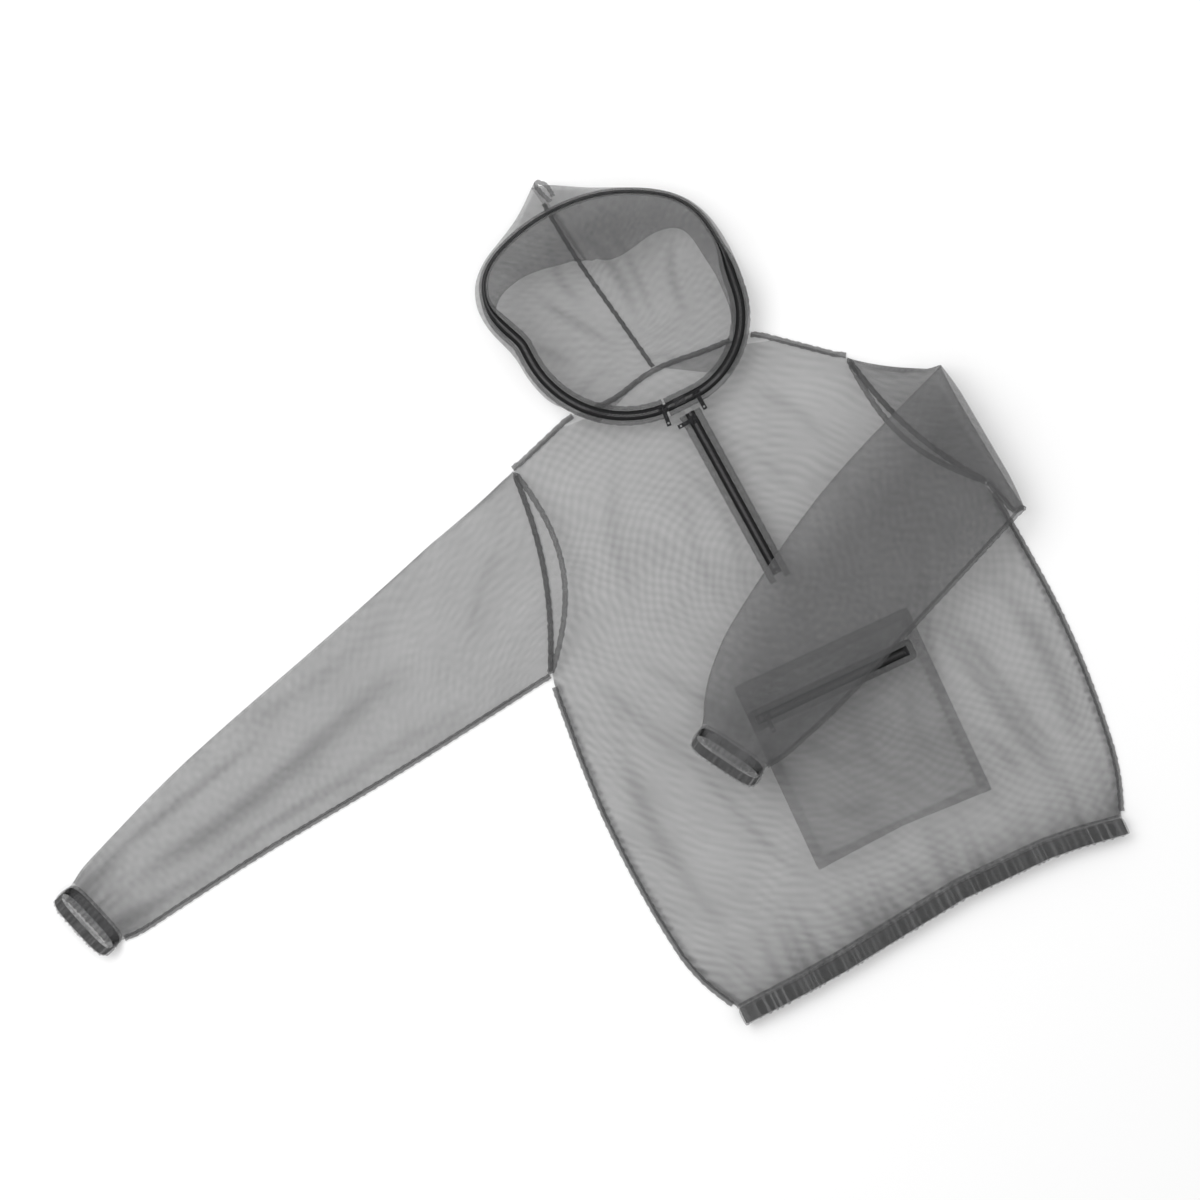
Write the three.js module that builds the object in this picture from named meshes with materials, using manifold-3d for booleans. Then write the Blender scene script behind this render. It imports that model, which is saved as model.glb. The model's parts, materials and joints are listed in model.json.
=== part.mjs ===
// A pullover beekeeper's jacket of sheer net, laid out flat on its back with the left sleeve folded over
// the chest. The hood has a face veil held by a zip that runs round the face, the chest has a half zip,
// the belly has a zipped pouch pocket, and the hem and cuffs are gathered on elastic.
//
// Millimetres. +Z is up, out of the jacket's front; +Y points to the hood; +X is the wearer's left.
// The origin is on the surface that the jacket lies on, under the centre line, level with the armpits.

import * as THREE from 'three';
import { mergeVertices } from 'three/addons/utils/BufferGeometryUtils.js';
import Module from 'manifold-3d';

const wasm = await Module();
wasm.setup();

const v2 = (x, y) => new THREE.Vector2(x, y);
const v3 = (x, y, z) => new THREE.Vector3(x, y, z);
const up = v3(0, 0, 1);
const degrees = THREE.MathUtils.degToRad;

// ---------------------------------------------------------------- driving sizes

const cloth = 1.2; // thickness of a net panel with the air that it traps
const gap = 0.3; // clearance between neighbouring pieces
const edgeClear = 1; // wider clearance, where two curved cloth edges lie side by side
const seamWidth = 3; // bound edge of a seam
const seamHeight = 2.4;

// Torso, lying flat. The left shoulder is drawn in and down by its folded arm.
const chestHalf = 277; // half width at the widest place, under the arms
const hemHalf = 234; // half width of the gathered hem
const hemDrop = 402; // from the armpits down to where the panels meet the hem casing
const chestRise = 18; // how high the front stands above the back
const hemRise = 13; // the same at the hem
const pillowReach = 70; // the front slopes down to the side seams over this distance
const rightArmpit = v2(9 - chestHalf, 5);
const rightShoulder = v2(-210, 226);
const leftArmpit = v2(chestHalf - 19, -5);
const leftShoulder = v2(176, 184);

// Sleeves. Each edge of the right one starts from its armhole; the left one also starts from its fold.
const sleeveRise = 16; // height of a sleeve that lies flat
const sleeveReach = 46; // its top slopes down to its edges over this distance
const sleeveLength = 660; // from the shoulder down to the cuff
const sleeveAngle = degrees(17.8); // how far the laid-out sleeve points below straight out
const foldedLength = 469; // what is left of the left sleeve past its fold
const foldedAngle = degrees(31.5);
const cuffWidth = 90;
const rightFoldInset = 62; // from the right armhole to the line where that sleeve folds
const foldTop = v2(chestHalf - 15, 138); // ends of the left sleeve's fold line
const foldBottom = v2(chestHalf + 1, -46);
const foldGap = 7; // each part of a sleeve stops this far short of its fold line
const foldClear = 3; // room between the highest zip pull and the folded sleeve

// Elastic casings.
const casingWall = 0.6;
const elasticThick = 1;
const hemElasticWidth = 18;
const cuffElasticWidth = 10;
const cuffRise = 13;
const cuffLean = 20; // the upper half of a cuff reaches this far past the lower half

// Hood. Its face opening lies in a plane that rises from the neck to the crown.
const neckLine = 217; // the opening's lowest point is here, on the Y axis
const hoodTilt = degrees(9);
const rightArcX = -24; // centre and radius of the opening's lower right quarter
const rightArcRadius = 118;
const leftArcX = 0; // and of its lower left quarter
const leftArcRadius = 95;
const crownRise = 245; // the opening's length, from the neck to the crown
const crownX = -56;
const crownOverhang = 47; // the hood's peak reaches this far past the opening
const hoodOverhang = 2; // its sides bulge this far past the opening's binding
const bindingWidth = 4.5;
const veilSag = 14;
const backNeckRise = 259; // top of the back neck seam's arch
const backNeckX = -22; // the hood's back seam starts here

// Zips: nylon coil.
const tapeWidth = 4.1; // of each tape, from the slot between the coils to its binding
const tapeThick = 0.8;
const coilWidth = 2.6;
const coilThick = 1.6;
const neckSlot = 1.2; // half the slot between the coils, for the slider's neck
const stopLength = 3.4;
const sliderWidth = 8.4;
const sliderLength = 9.5;
const plateThick = 1.1;
const bailHeight = 6.8; // height of the slider's bail over the tape
const bailRadius = 0.9;
const pullLength = 19;
const pullWidth = 4.8;
const pullThick = 1.3;
const pullEye = 2.5; // radius of the pull's round eye

// The chest zip's top lies just below the chin.
const frontZipTop = v2(-8, neckLine - 15);
const frontZipLength = 200.4;
const frontZipSlant = degrees(3.72);
const frontSliderInset = 9; // from the zip's top end to the slider
const facingWidth = 7;
const facingThick = 0.8;
const facingPast = 8; // the facings run this far past the zip's lower end

// The face zip's two ends lie either side of the chin.
const chinLeft = 1;
const chinRight = -26;
const chinClear = 2; // from a zip's end to its slider

// Pocket: a pouch sewn on the front, with a zip across it.
const pocketLeft = 116;
const pocketRight = -90;
const pocketTop = -92;
const pocketBottom = -310;
const pocketRise = 5; // room inside the pouch
const pocketSlope = 14;
const pocketZipY = -134;
const pocketZipRight = -84;
const pocketZipLeft = 98;
const pocketSliderInset = 12; // from the zip's right end to the slider

// Worked out from the sizes above.
const chainTop = tapeThick / 2 + gap + coilThick; // top of a coil above the middle of the tape
const coilBase = tapeThick / 2 + gap;
const tapeFrom = neckSlot + 0.1;
const tapeTo = neckSlot + tapeWidth;
const coilTo = neckSlot + coilWidth;
const bindFrom = tapeTo + gap;
const bindTo = bindFrom + bindingWidth;
const slitHalf = tapeTo + gap; // half width of the slit that a zip fills
const backMiddle = cloth / 2;
const frontEdge = backMiddle + cloth + gap; // middle of the front panel where it meets a seam
const frontTop = frontEdge + chestRise; // middle of the front panel over the chest
const pocketTopZ = frontTop + cloth + pocketRise; // middle of the pouch's face
const foldedBase = pocketTopZ + bailHeight + pullEye + foldClear; // underside of the folded sleeve

// ---------------------------------------------------------------- materials

const finish = (color, roughness, metalness = 0) =>
  new THREE.MeshStandardMaterial({ color, roughness, metalness, side: THREE.DoubleSide });
const net = finish(0x9a9a9a, 0.8);
const doubledNet = finish(0x6a6a6a, 0.8);
const elastic = finish(0xd8d8d4, 0.7);
const zipTape = finish(0x161616, 0.75);
const zipCoil = finish(0x0c0c0c, 0.4);
const blackMetal = finish(0x1a1a1a, 0.35, 0.6);

// ---------------------------------------------------------------- solids

const mix = (a, b, t) => a + (b - a) * t;
const ease = (t) => t * t * (3 - 2 * t);
const clamp01 = (t) => Math.min(Math.max(t, 0), 1);
const pillow = (distance, reach) => Math.sin((Math.PI / 2) * clamp01(distance / reach));

// A closed geometry from points and triangles, its faces turned outwards.
function closedSolid(points, triangles) {
  let volume = 0;
  for (let i = 0; i < triangles.length; i += 3) {
    const [a, b, c] = [0, 1, 2].map((k) => points[triangles[i + k]]);
    volume += a.dot(b.clone().cross(c));
  }
  const faces = volume < 0 ? triangles.slice().reverse() : triangles;
  return new THREE.BufferGeometry().setFromPoints(points).setIndex(faces);
}

// A sheet of cloth: surface(u, v) is its middle. A wrapped sheet is a tube.
function sheet(surface, columns, rows, wrapped = false) {
  const across = wrapped ? columns : columns + 1;
  const middle = [];
  for (let j = 0; j <= rows; j++) {
    for (let i = 0; i < across; i++) middle.push(surface(i / columns, j / rows));
  }
  const at = (i, j) => {
    const column = wrapped ? (i + across) % across : Math.min(Math.max(i, 0), columns);
    return middle[Math.min(Math.max(j, 0), rows) * across + column];
  };
  const outer = [];
  const inner = [];
  for (let j = 0; j <= rows; j++) {
    for (let i = 0; i < across; i++) {
      const along = at(i + 1, j).clone().sub(at(i - 1, j));
      const over = at(i, j + 1).clone().sub(at(i, j - 1));
      const half = along.cross(over).normalize().multiplyScalar(cloth / 2);
      outer.push(at(i, j).clone().add(half));
      inner.push(at(i, j).clone().sub(half));
    }
  }
  const shift = outer.length;
  const triangles = [];
  const quad = (a, b, c, d) => triangles.push(a, b, c, a, c, d);
  const id = (i, j) => j * across + ((i + across) % across);
  for (let j = 0; j < rows; j++) {
    for (let i = 0; i < columns; i++) {
      quad(id(i, j), id(i + 1, j), id(i + 1, j + 1), id(i, j + 1));
      quad(shift + id(i, j), shift + id(i, j + 1), shift + id(i + 1, j + 1), shift + id(i + 1, j));
    }
  }
  for (let i = 0; i < columns; i++) {
    quad(id(i + 1, 0), id(i, 0), shift + id(i, 0), shift + id(i + 1, 0));
    quad(id(i, rows), id(i + 1, rows), shift + id(i + 1, rows), shift + id(i, rows));
  }
  for (let j = 0; j < rows && !wrapped; j++) {
    quad(id(0, j), id(0, j + 1), shift + id(0, j + 1), shift + id(0, j));
    quad(id(columns, j + 1), id(columns, j), shift + id(columns, j), shift + id(columns, j + 1));
  }
  return closedSolid([...outer, ...inner], triangles);
}

// An outline swept through frames { origin, side, rise }, which place its x and y.
function sweep(outline, frames, closed = false) {
  const points = frames.flatMap(({ origin, side, rise }) =>
    outline.map((p) => origin.clone().addScaledVector(side, p.x).addScaledVector(rise, p.y)));
  const n = outline.length;
  const triangles = [];
  const spans = closed ? frames.length : frames.length - 1;
  for (let j = 0; j < spans; j++) {
    const next = (j + 1) % frames.length;
    for (let i = 0; i < n; i++) {
      const k = (i + 1) % n;
      triangles.push(j * n + i, j * n + k, next * n + k, j * n + i, next * n + k, next * n + i);
    }
  }
  if (!closed) {
    const last = (frames.length - 1) * n;
    for (const [a, b, c] of THREE.ShapeUtils.triangulateShape(outline, [])) {
      triangles.push(c, b, a, last + a, last + b, last + c);
    }
  }
  return closedSolid(points, triangles);
}

const rectangle = (x0, x1, y0, y1) => [v2(x0, y0), v2(x1, y0), v2(x1, y1), v2(x0, y1)];

// A box between two corners.
function block(x0, x1, y0, y1, z0, z1) {
  return new THREE.BoxGeometry(x1 - x0, y1 - y0, z1 - z0)
    .translate((x0 + x1) / 2, (y0 + y1) / 2, (z0 + z1) / 2);
}

function toManifold(geometry) {
  const bare = new THREE.BufferGeometry().setAttribute('position', geometry.getAttribute('position'));
  const merged = mergeVertices(bare.setIndex(geometry.index), 1e-4);
  return new wasm.Manifold(new wasm.Mesh({
    numProp: 3,
    vertProperties: merged.attributes.position.array,
    triVerts: new Uint32Array(merged.index.array),
  }));
}

function fromManifold(solid) {
  const mesh = solid.getMesh();
  return new THREE.BufferGeometry()
    .setAttribute('position', new THREE.BufferAttribute(mesh.vertProperties, 3))
    .setIndex(new THREE.BufferAttribute(mesh.triVerts, 1));
}

const join = (...parts) => fromManifold(parts.map(toManifold).reduce((a, b) => a.add(b)));
const cut = (body, ...tools) =>
  fromManifold(tools.map(toManifold).reduce((a, b) => a.subtract(b), toManifold(body)));

const jacket = new THREE.Group();

function add(name, geometry, material, group = jacket) {
  const mesh = new THREE.Mesh(geometry, material);
  mesh.name = name;
  group.add(mesh);
  return mesh;
}

// ---------------------------------------------------------------- curves

const spline = (...points) => new THREE.SplineCurve(points);

// A chord, moved along its normal on the side where outwards is positive in X.
function chord(shoulder, armpit, outwards, distance) {
  const along = armpit.clone().sub(shoulder).normalize();
  const normal = v2(along.y, -along.x);
  if (normal.x * outwards < 0) normal.negate();
  return [shoulder, armpit].map((p) => p.clone().addScaledVector(normal, distance));
}

// How far a point is from a run of straight pieces.
function distanceTo(points, x, y) {
  let best = Infinity;
  for (let i = 1; i < points.length; i++) {
    const a = points[i - 1];
    const d = points[i].clone().sub(a);
    const t = clamp01(((x - a.x) * d.x + (y - a.y) * d.y) / d.lengthSq());
    best = Math.min(best, Math.hypot(x - a.x - d.x * t, y - a.y - d.y * t));
  }
  return best;
}

// Spreads the columns of a grid so that a share of them crowds into the slope at each edge.
function crowd(t, columnShare, slopeShare) {
  if (t > 0.5) return 1 - crowd(1 - t, columnShare, slopeShare);
  if (t < columnShare) return (t / columnShare) * slopeShare;
  return mix(slopeShare, 0.5, (t - columnShare) / (0.5 - columnShare));
}

// A four-sided patch between its bottom, top, right and left edges.
function coons(bottom, top, right, left) {
  const corners = [bottom(0), bottom(1), top(0), top(1)];
  return (u, v) => {
    const point = v2(0, 0);
    point.addScaledVector(bottom(u), 1 - v).addScaledVector(top(u), v);
    point.addScaledVector(right(v), 1 - u).addScaledVector(left(v), u);
    const shares = [(1 - u) * (1 - v), u * (1 - v), (1 - u) * v, u * v];
    corners.forEach((corner, i) => point.addScaledVector(corner, -shares[i]));
    return point;
  };
}

// ---------------------------------------------------------------- the hood's face opening

// The zip's line round the face, in the opening's own plane, from the right end at the chin, up the
// right side, over the crown and down the left side to the left end.
const rightArcCentre = v2(rightArcX, rightArcRadius);
const leftArcCentre = v2(leftArcX, leftArcRadius);
const arcPoint = (centre, radius, angle) =>
  v2(centre.x + radius * Math.cos(angle), centre.y + radius * Math.sin(angle));
const chinAngle = (centre, radius, x) => -Math.acos((x - centre.x) / radius);
const rightStart = chinAngle(rightArcCentre, rightArcRadius, chinRight);
const leftEnd = chinAngle(leftArcCentre, leftArcRadius, chinLeft);
const rightStop = -degrees(185.4);
const rightTurn = arcPoint(rightArcCentre, rightArcRadius, rightStop);
const leftTurn = arcPoint(leftArcCentre, leftArcRadius, 0);
const overRight = (out, share) => v2(rightTurn.x + out, mix(rightTurn.y, crownRise, share));
const overLeft = (out, share) => v2(leftTurn.x + out, mix(leftTurn.y, crownRise, share));
const face = new THREE.CurvePath();
face.add(new THREE.EllipseCurve(
  rightArcCentre.x, rightArcCentre.y, rightArcRadius, rightArcRadius, rightStart, rightStop, true));
face.add(spline(
  rightTurn,
  overRight(-13, 0.25),
  overRight(-18, 0.48),
  overRight(-5, 0.74),
  overRight(31, 0.91),
  v2(crownX, crownRise),
  overLeft(-90, 0.96),
  overLeft(-35, 0.79),
  overLeft(-7, 0.58),
  overLeft(2, 0.28),
  leftTurn,
));
face.add(new THREE.EllipseCurve(
  leftArcCentre.x, leftArcCentre.y, leftArcRadius, leftArcRadius, 0, leftEnd, true));
const zipLength = face.getLength();

const opening = new THREE.Group();
opening.position.set(0, neckLine, frontTop);
opening.rotation.x = hoodTilt;
opening.updateMatrix();
jacket.add(opening);

// A point beside the zip's line: out is away from the face, in the opening's plane.
function besideZip(share, out, height = 0) {
  const t = clamp01(share);
  const point = face.getPointAt(t);
  const tangent = face.getTangentAt(t);
  return v3(point.x - tangent.y * out, point.y + tangent.x * out, height);
}
const inJacket = (point) => point.clone().applyMatrix4(opening.matrix);
const flatten = (point) => v2(point.x, point.y);

const zipSteps = 48;
const flat = tapeThick / 2;
const faceFrames = Array.from({ length: zipSteps + 1 }, (_, i) => {
  const origin = besideZip(i / zipSteps, 0);
  return { origin, side: besideZip(i / zipSteps, 1).sub(origin), rise: up };
});
const band = (sign, from, to, low, high) =>
  rectangle(Math.min(sign * from, sign * to), Math.max(sign * from, sign * to), low, high);
for (const [side, sign] of [['outer', 1], ['inner', -1]]) {
  const tape = band(sign, tapeFrom, tapeTo, -flat, flat);
  const coil = band(sign, neckSlot, coilTo, coilBase, chainTop);
  add(`hood_zip_${side}_tape`, sweep(tape, faceFrames), zipTape, opening);
  add(`hood_zip_${side}_coil`, sweep(coil, faceFrames), zipCoil, opening);
}
add('hood_opening_binding', sweep(band(1, bindFrom, bindTo, -flat, flat), faceFrames), doubledNet, opening);
add('veil_binding', sweep(band(-1, bindFrom, bindTo, -flat, flat), faceFrames), doubledNet, opening);

// The chin tab closes the gap between the face zip's two ends.
const tabClear = 7;
add('chin_tab', block(chinRight + tabClear, chinLeft - tabClear, 2 - tapeTo, tapeTo, -flat, flat),
  doubledNet, opening);

// The veil fills the opening. A square grid is bent to the opening's shape, so it has no pole.
const veilCentre = v2((rightTurn.x + leftTurn.x) / 2, crownRise / 2);
const rimSteps = 180;
const rim = Array.from({ length: rimSteps + 1 }, (_, i) => besideZip(i / rimSteps, -(bindTo + edgeClear)));
function veilReach(angle) {
  const ray = v2(Math.cos(angle), Math.sin(angle));
  for (let i = 0; i < rim.length; i++) {
    const start = flatten(rim[i]).sub(veilCentre);
    const edge = flatten(rim[(i + 1) % rim.length]).sub(veilCentre).sub(start);
    const turn = ray.cross(edge);
    const share = start.cross(ray) / turn;
    const reach = start.cross(edge) / turn;
    if (reach > 0 && share >= 0 && share <= 1) return reach;
  }
  throw new Error('the veil has no rim there');
}
add('veil', sheet((u, v) => {
  const [a, b] = [u * 2 - 1, v * 2 - 1];
  const disc = v2(a * Math.sqrt(1 - (b * b) / 2), b * Math.sqrt(1 - (a * a) / 2));
  const radius = Math.min(disc.length(), 1);
  const angle = Math.atan2(disc.y, disc.x);
  const point = arcPoint(veilCentre, veilReach(angle) * radius, angle);
  return v3(point.x, point.y, -veilSag * (1 - radius ** 2.2));
}, 12, 12), net, opening);

// ---------------------------------------------------------------- torso

// The front panel's neck edge follows the opening's binding; the back's is a low arch.
const rightNeckShare = (rightArcRadius * degrees(50)) / zipLength;
const leftNeckShare = 1 - (leftArcRadius * degrees(56)) / zipLength;
function frontNeck(s) {
  const half = 0.52; // the right side's share of the neck edge
  const share = s < half ? mix(rightNeckShare, 0, s / half) : mix(1, leftNeckShare, (s - half) / (1 - half));
  return flatten(inJacket(besideZip(share, bindTo + 2 * edgeClear)));
}
const rightNeck = frontNeck(0);
const leftNeck = frontNeck(1);
const backNeckCurve = spline(
  rightNeck,
  v2(mix(rightNeck.x, backNeckX, 0.45), rightNeck.y - 4),
  v2(backNeckX, backNeckRise),
  v2(mix(leftNeck.x, backNeckX, 0.45), leftNeck.y + 2),
  leftNeck,
);

const armholeClear = seamWidth / 2 + edgeClear;
const rightHole = chord(rightShoulder, rightArmpit, -1, -armholeClear);
const leftHole = chord(leftShoulder, leftArmpit, 1, -armholeClear);
const hemRight = v2(-hemHalf, -hemDrop - 8);
const hemLeft = v2(hemHalf, 4 - hemDrop);
const hemCurve = spline(
  hemRight, v2(-120, -hemDrop - 2), v2(40, 16 - hemDrop), v2(150, 16 - hemDrop), hemLeft);

// Each side seam, from the hem up to the armpit.
const rightSide = spline(
  hemRight,
  v2(-mix(hemHalf, chestHalf, 0.7), -hemDrop * 0.84),
  v2(-chestHalf, -hemDrop * 0.42),
  rightHole[1],
);
const leftSide = spline(
  hemLeft,
  v2(mix(hemHalf, chestHalf, 0.5), -hemDrop * 0.82),
  v2(chestHalf - 10, -hemDrop * 0.45),
  leftHole[1],
);

const closedEdges = [
  rightSide.getPoints(12),
  leftSide.getPoints(12),
  [rightHole[0], rightNeck],
  [leftHole[0], leftNeck],
];
function frontHeight(x, y) {
  const rise = mix(hemRise, chestRise, ease(clamp01((y + hemDrop) / (hemDrop / 3))));
  const nearest = Math.min(...closedEdges.map((edge) => distanceTo(edge, x, y)));
  return frontEdge + rise * pillow(nearest, pillowReach);
}

const armpitShare = 0.62; // share of a side edge that is side seam, below the armhole
const shoulderShare = 0.18; // share of the top edge that is one shoulder
const sideEdge = (side, hole) => (v) =>
  v < armpitShare
    ? side.getPoint(v / armpitShare)
    : hole[1].clone().lerp(hole[0], (v - armpitShare) / (1 - armpitShare));
const topEdge = (neck) => (u) => {
  if (u < shoulderShare) return rightHole[0].clone().lerp(rightNeck, u / shoulderShare);
  if (u > 1 - shoulderShare) return leftHole[0].clone().lerp(leftNeck, (1 - u) / shoulderShare);
  return neck((u - shoulderShare) / (1 - 2 * shoulderShare));
};
const panelOutline = (neck) => coons(
  (u) => hemCurve.getPoint(u), topEdge(neck), sideEdge(rightSide, rightHole), sideEdge(leftSide, leftHole));
const frontOutline = panelOutline(frontNeck);
const backOutline = panelOutline((s) => backNeckCurve.getPoint(s));

// The chest zip's own frame: its -Y runs down the zip, from the top end.
const frontZip = new THREE.Group();
frontZip.position.set(frontZipTop.x, frontZipTop.y, frontTop);
frontZip.rotation.z = frontZipSlant;
frontZip.updateMatrix();
jacket.add(frontZip);

const slitPast = 60; // the slit runs out through the neck edge
const slit = block(-slitHalf, slitHalf, -frontZipLength - gap, slitPast, -8, 8).applyMatrix4(frontZip.matrix);
const slopeShare = pillowReach / (2 * chestHalf);
const frontPanel = sheet((u, v) => {
  const p = frontOutline(crowd(u, 0.25, slopeShare), v);
  return v3(p.x, p.y, frontHeight(p.x, p.y));
}, 16, 14);
add('front_panel', cut(frontPanel, slit), net);
add('back_panel', sheet((u, v) => {
  const p = backOutline(u, v);
  return v3(p.x, p.y, backMiddle);
}, 16, 14), net);

// A bound seam lies just outside a panel's edge, on the side that sign gives.
function seam(name, curve, sign, steps, from = 0, to = 1, base = 0) {
  const frames = Array.from({ length: steps + 1 }, (_, i) => {
    const t = mix(from, to, i / steps);
    const p = curve.getPointAt(t);
    const tangent = curve.getTangentAt(t);
    const side = v3(tangent.y, -tangent.x, 0).multiplyScalar(sign);
    const origin = v3(p.x, p.y, base).addScaledVector(side, edgeClear);
    return { origin, side, rise: up };
  });
  add(name, sweep(rectangle(0, seamWidth, 0, seamHeight), frames), doubledNet);
}
seam('right_side_seam', rightSide, -1, 12, 0.01, 0.97);
seam('left_side_seam', leftSide, 1, 12, 0.01, 0.97);
seam('right_shoulder_seam', new THREE.LineCurve(rightHole[0], rightNeck), -1, 2, 0.06, 0.94);
seam('left_shoulder_seam', new THREE.LineCurve(leftHole[0], leftNeck), 1, 2, 0.06, 0.94);
seam('back_neck_seam', backNeckCurve, -1, 12, 0.12, 0.9);

// ---------------------------------------------------------------- sleeves

// A flattened tube across from one edge point to the other: flat below, a pillow above.
const loopSteps = 16;
function sleeveLoop(top, bottom, rise, base, share) {
  const turn = (share % 1) * 2;
  const below = turn <= 1;
  const t = below ? turn : 2 - turn;
  const p = top.clone().lerp(bottom, t);
  const width = top.distanceTo(bottom);
  const distance = Math.min(t, 1 - t) * width;
  if (distance < width / loopSteps) return v3(p.x, p.y, base + (backMiddle + frontEdge) / 2);
  return v3(p.x, p.y, base + (below ? backMiddle : frontEdge + rise * pillow(distance, sleeveReach)));
}

function sleeveTube(name, topCurve, bottomCurve, riseAt, base, from, to, rows) {
  add(name, sheet((u, v) => {
    const t = mix(from, to, v);
    return sleeveLoop(topCurve.getPointAt(t), bottomCurve.getPointAt(t), riseAt(t), base, u);
  }, loopSteps, rows, true), net);
}

// The armhole's binding: a tape round the same loop.
function armholeBinding(name, shoulder, armpit, outwards) {
  const [first, second] = chord(shoulder, armpit, outwards, 1);
  const normal = v3(first.x - shoulder.x, first.y - shoulder.y, 0);
  const points = Array.from({ length: loopSteps }, (_, i) =>
    sleeveLoop(shoulder, armpit, chestRise, 0, i / loopSteps));
  const frames = points.map((origin, i) => {
    const before = points[(i + loopSteps - 1) % loopSteps];
    const ahead = points[(i + 1) % loopSteps].clone().sub(before).normalize();
    return { origin, side: normal, rise: ahead.cross(normal) };
  });
  const outline = rectangle(-seamWidth / 2, seamWidth / 2, -cloth / 2, cloth / 2);
  add(name, sweep(outline, frames, true), doubledNet);
}
armholeBinding('right_armhole_binding', rightShoulder, rightArmpit, -1);
armholeBinding('left_armhole_binding', leftShoulder, leftArmpit, 1);

// Both ends of a cuff: its top lies down the sleeve from start, and its bottom is cuffWidth below that.
function cuffEnds(start, length, angle) {
  const top = start.clone().add(v2(-Math.cos(angle), -Math.sin(angle)).multiplyScalar(length));
  const bottom = top.clone().add(v2(Math.sin(angle), -Math.cos(angle)).multiplyScalar(cuffWidth));
  return [top, bottom];
}

// An edge of a sleeve: from the first point to the last, bowed upwards at shares of the way.
function sleeveEdge(first, last, ...bows) {
  const between = bows.map(([share, bow]) => first.clone().lerp(last, share).add(v2(0, bow)));
  return spline(first, ...between, last);
}

// Right sleeve: it folds a little way down from the armhole.
const rightCuff = cuffEnds(rightShoulder, sleeveLength, sleeveAngle);
const rightStartEdge = chord(rightShoulder, rightArmpit, -1, armholeClear);
const rightTop = sleeveEdge(rightStartEdge[0], rightCuff[0], [0.38, 3], [0.74, 10]);
const rightBottom = sleeveEdge(rightStartEdge[1], rightCuff[1], [0.34, -1], [0.7, 3]);
const rightFoldShare = rightFoldInset / rightTop.getLength();
const foldShare = foldGap / rightTop.getLength();
const cuffEndRise = cuffRise - 2;
const rightRise = (t) =>
  mix(mix(chestRise, sleeveRise, clamp01(t / rightFoldShare)), cuffEndRise, ease(t));
sleeveTube('right_sleeve_upper', rightTop, rightBottom, rightRise, 0, 0, rightFoldShare - foldShare, 2);
sleeveTube('right_sleeve_lower', rightTop, rightBottom, rightRise, 0, rightFoldShare + foldShare, 1, 10);
seam('right_underarm_seam', rightBottom, -1, 10, rightFoldShare + foldShare, 0.99);

// Left sleeve: a short upper part from the armhole to the fold; the rest lies back over the chest.
const foldEdge = chord(foldTop, foldBottom, -1, foldGap);
const leftStartEdge = chord(leftShoulder, leftArmpit, 1, armholeClear + 2 * cloth); // it leaves at a slant
const leftUpperTop = spline(leftStartEdge[0], foldEdge[0]);
const leftUpperBottom = spline(leftStartEdge[1], foldEdge[1]);
const leftUpperRise = (t) => mix(chestRise, sleeveRise, t);
sleeveTube('left_sleeve_upper', leftUpperTop, leftUpperBottom, leftUpperRise, 0, 0.03, 1, 3);

const leftCuff = cuffEnds(foldTop, foldedLength, foldedAngle);
const foldedStart = foldEdge[0].clone().add(v2(0, -8));
const leftTop = sleeveEdge(foldedStart, leftCuff[0], [0.42, 34], [0.8, 37], [0.93, 24]);
const leftBottom = sleeveEdge(foldEdge[1], leftCuff[1], [0.4, -4], [0.75, -7]);
const leftRise = (t) => mix(sleeveRise, cuffEndRise, ease(t));
sleeveTube('left_sleeve_lower', leftTop, leftBottom, leftRise, foldedBase, 0, 1, 10);
seam('left_underarm_seam', leftBottom, -1, 10, 0.02, 0.99, foldedBase);

// ---------------------------------------------------------------- elastic casings

// Half the thickness of a casing with its elastic inside.
const casingHalf = casingWall + gap + elasticThick / 2;

// A flattened loop round an open end, whose middle line is edge(share). Each frame's side points out of
// the loop and its rise back along the garment. lean shifts the upper half outwards.
function casingFrames(edge, height, base, outwards, lean) {
  const width = edge(0).distanceTo(edge(1));
  const along = edge(1).sub(edge(0)).normalize();
  const high = height / 2 - casingHalf;
  const end = width / 2 - casingHalf;
  const count = 28;
  const squared = (value) => Math.sign(value) * Math.sqrt(Math.abs(value));
  const loop = Array.from({ length: count }, (_, i) => {
    const angle = (i / count) * 2 * Math.PI;
    return v2(end * squared(Math.cos(angle)), high * squared(Math.sin(angle)));
  });
  return loop.map((p, i) => {
    const ahead = loop[(i + 1) % count].clone().sub(loop[(i + count - 1) % count]).normalize();
    const shift = lean * ((p.y / high + 1) / 2);
    const middle = edge((p.x + width / 2) / width).addScaledVector(outwards, shift);
    return {
      origin: v3(middle.x, middle.y, base + height / 2 + p.y),
      side: v3(along.x * ahead.y, along.y * ahead.y, -ahead.x),
      rise: v3(-outwards.x, -outwards.y, 0),
    };
  });
}

function casing(name, frames, width) {
  const [out, wall] = [casingHalf, casingWall];
  const deep = width + gap + wall;
  const channel = [
    v2(-out, 0), v2(-out + wall, 0), v2(-out + wall, -deep + wall), v2(out - wall, -deep + wall),
    v2(out - wall, 0), v2(out, 0), v2(out, -deep), v2(-out, -deep),
  ];
  const half = elasticThick / 2;
  add(`${name}_casing`, sweep(channel, frames, true), doubledNet);
  add(`${name}_elastic`, sweep(rectangle(-half, half, -width, -gap), frames, true), elastic);
}

const casingClear = 3; // between a panel's gathered edge and its casing
const hemOut = v2(0, -1);
const belowHem = (share) => hemCurve.getPoint(share).addScaledVector(hemOut, casingClear);
casing('hem', casingFrames(belowHem, hemRise + frontEdge + 2, 0, hemOut, 0), hemElasticWidth);

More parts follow.
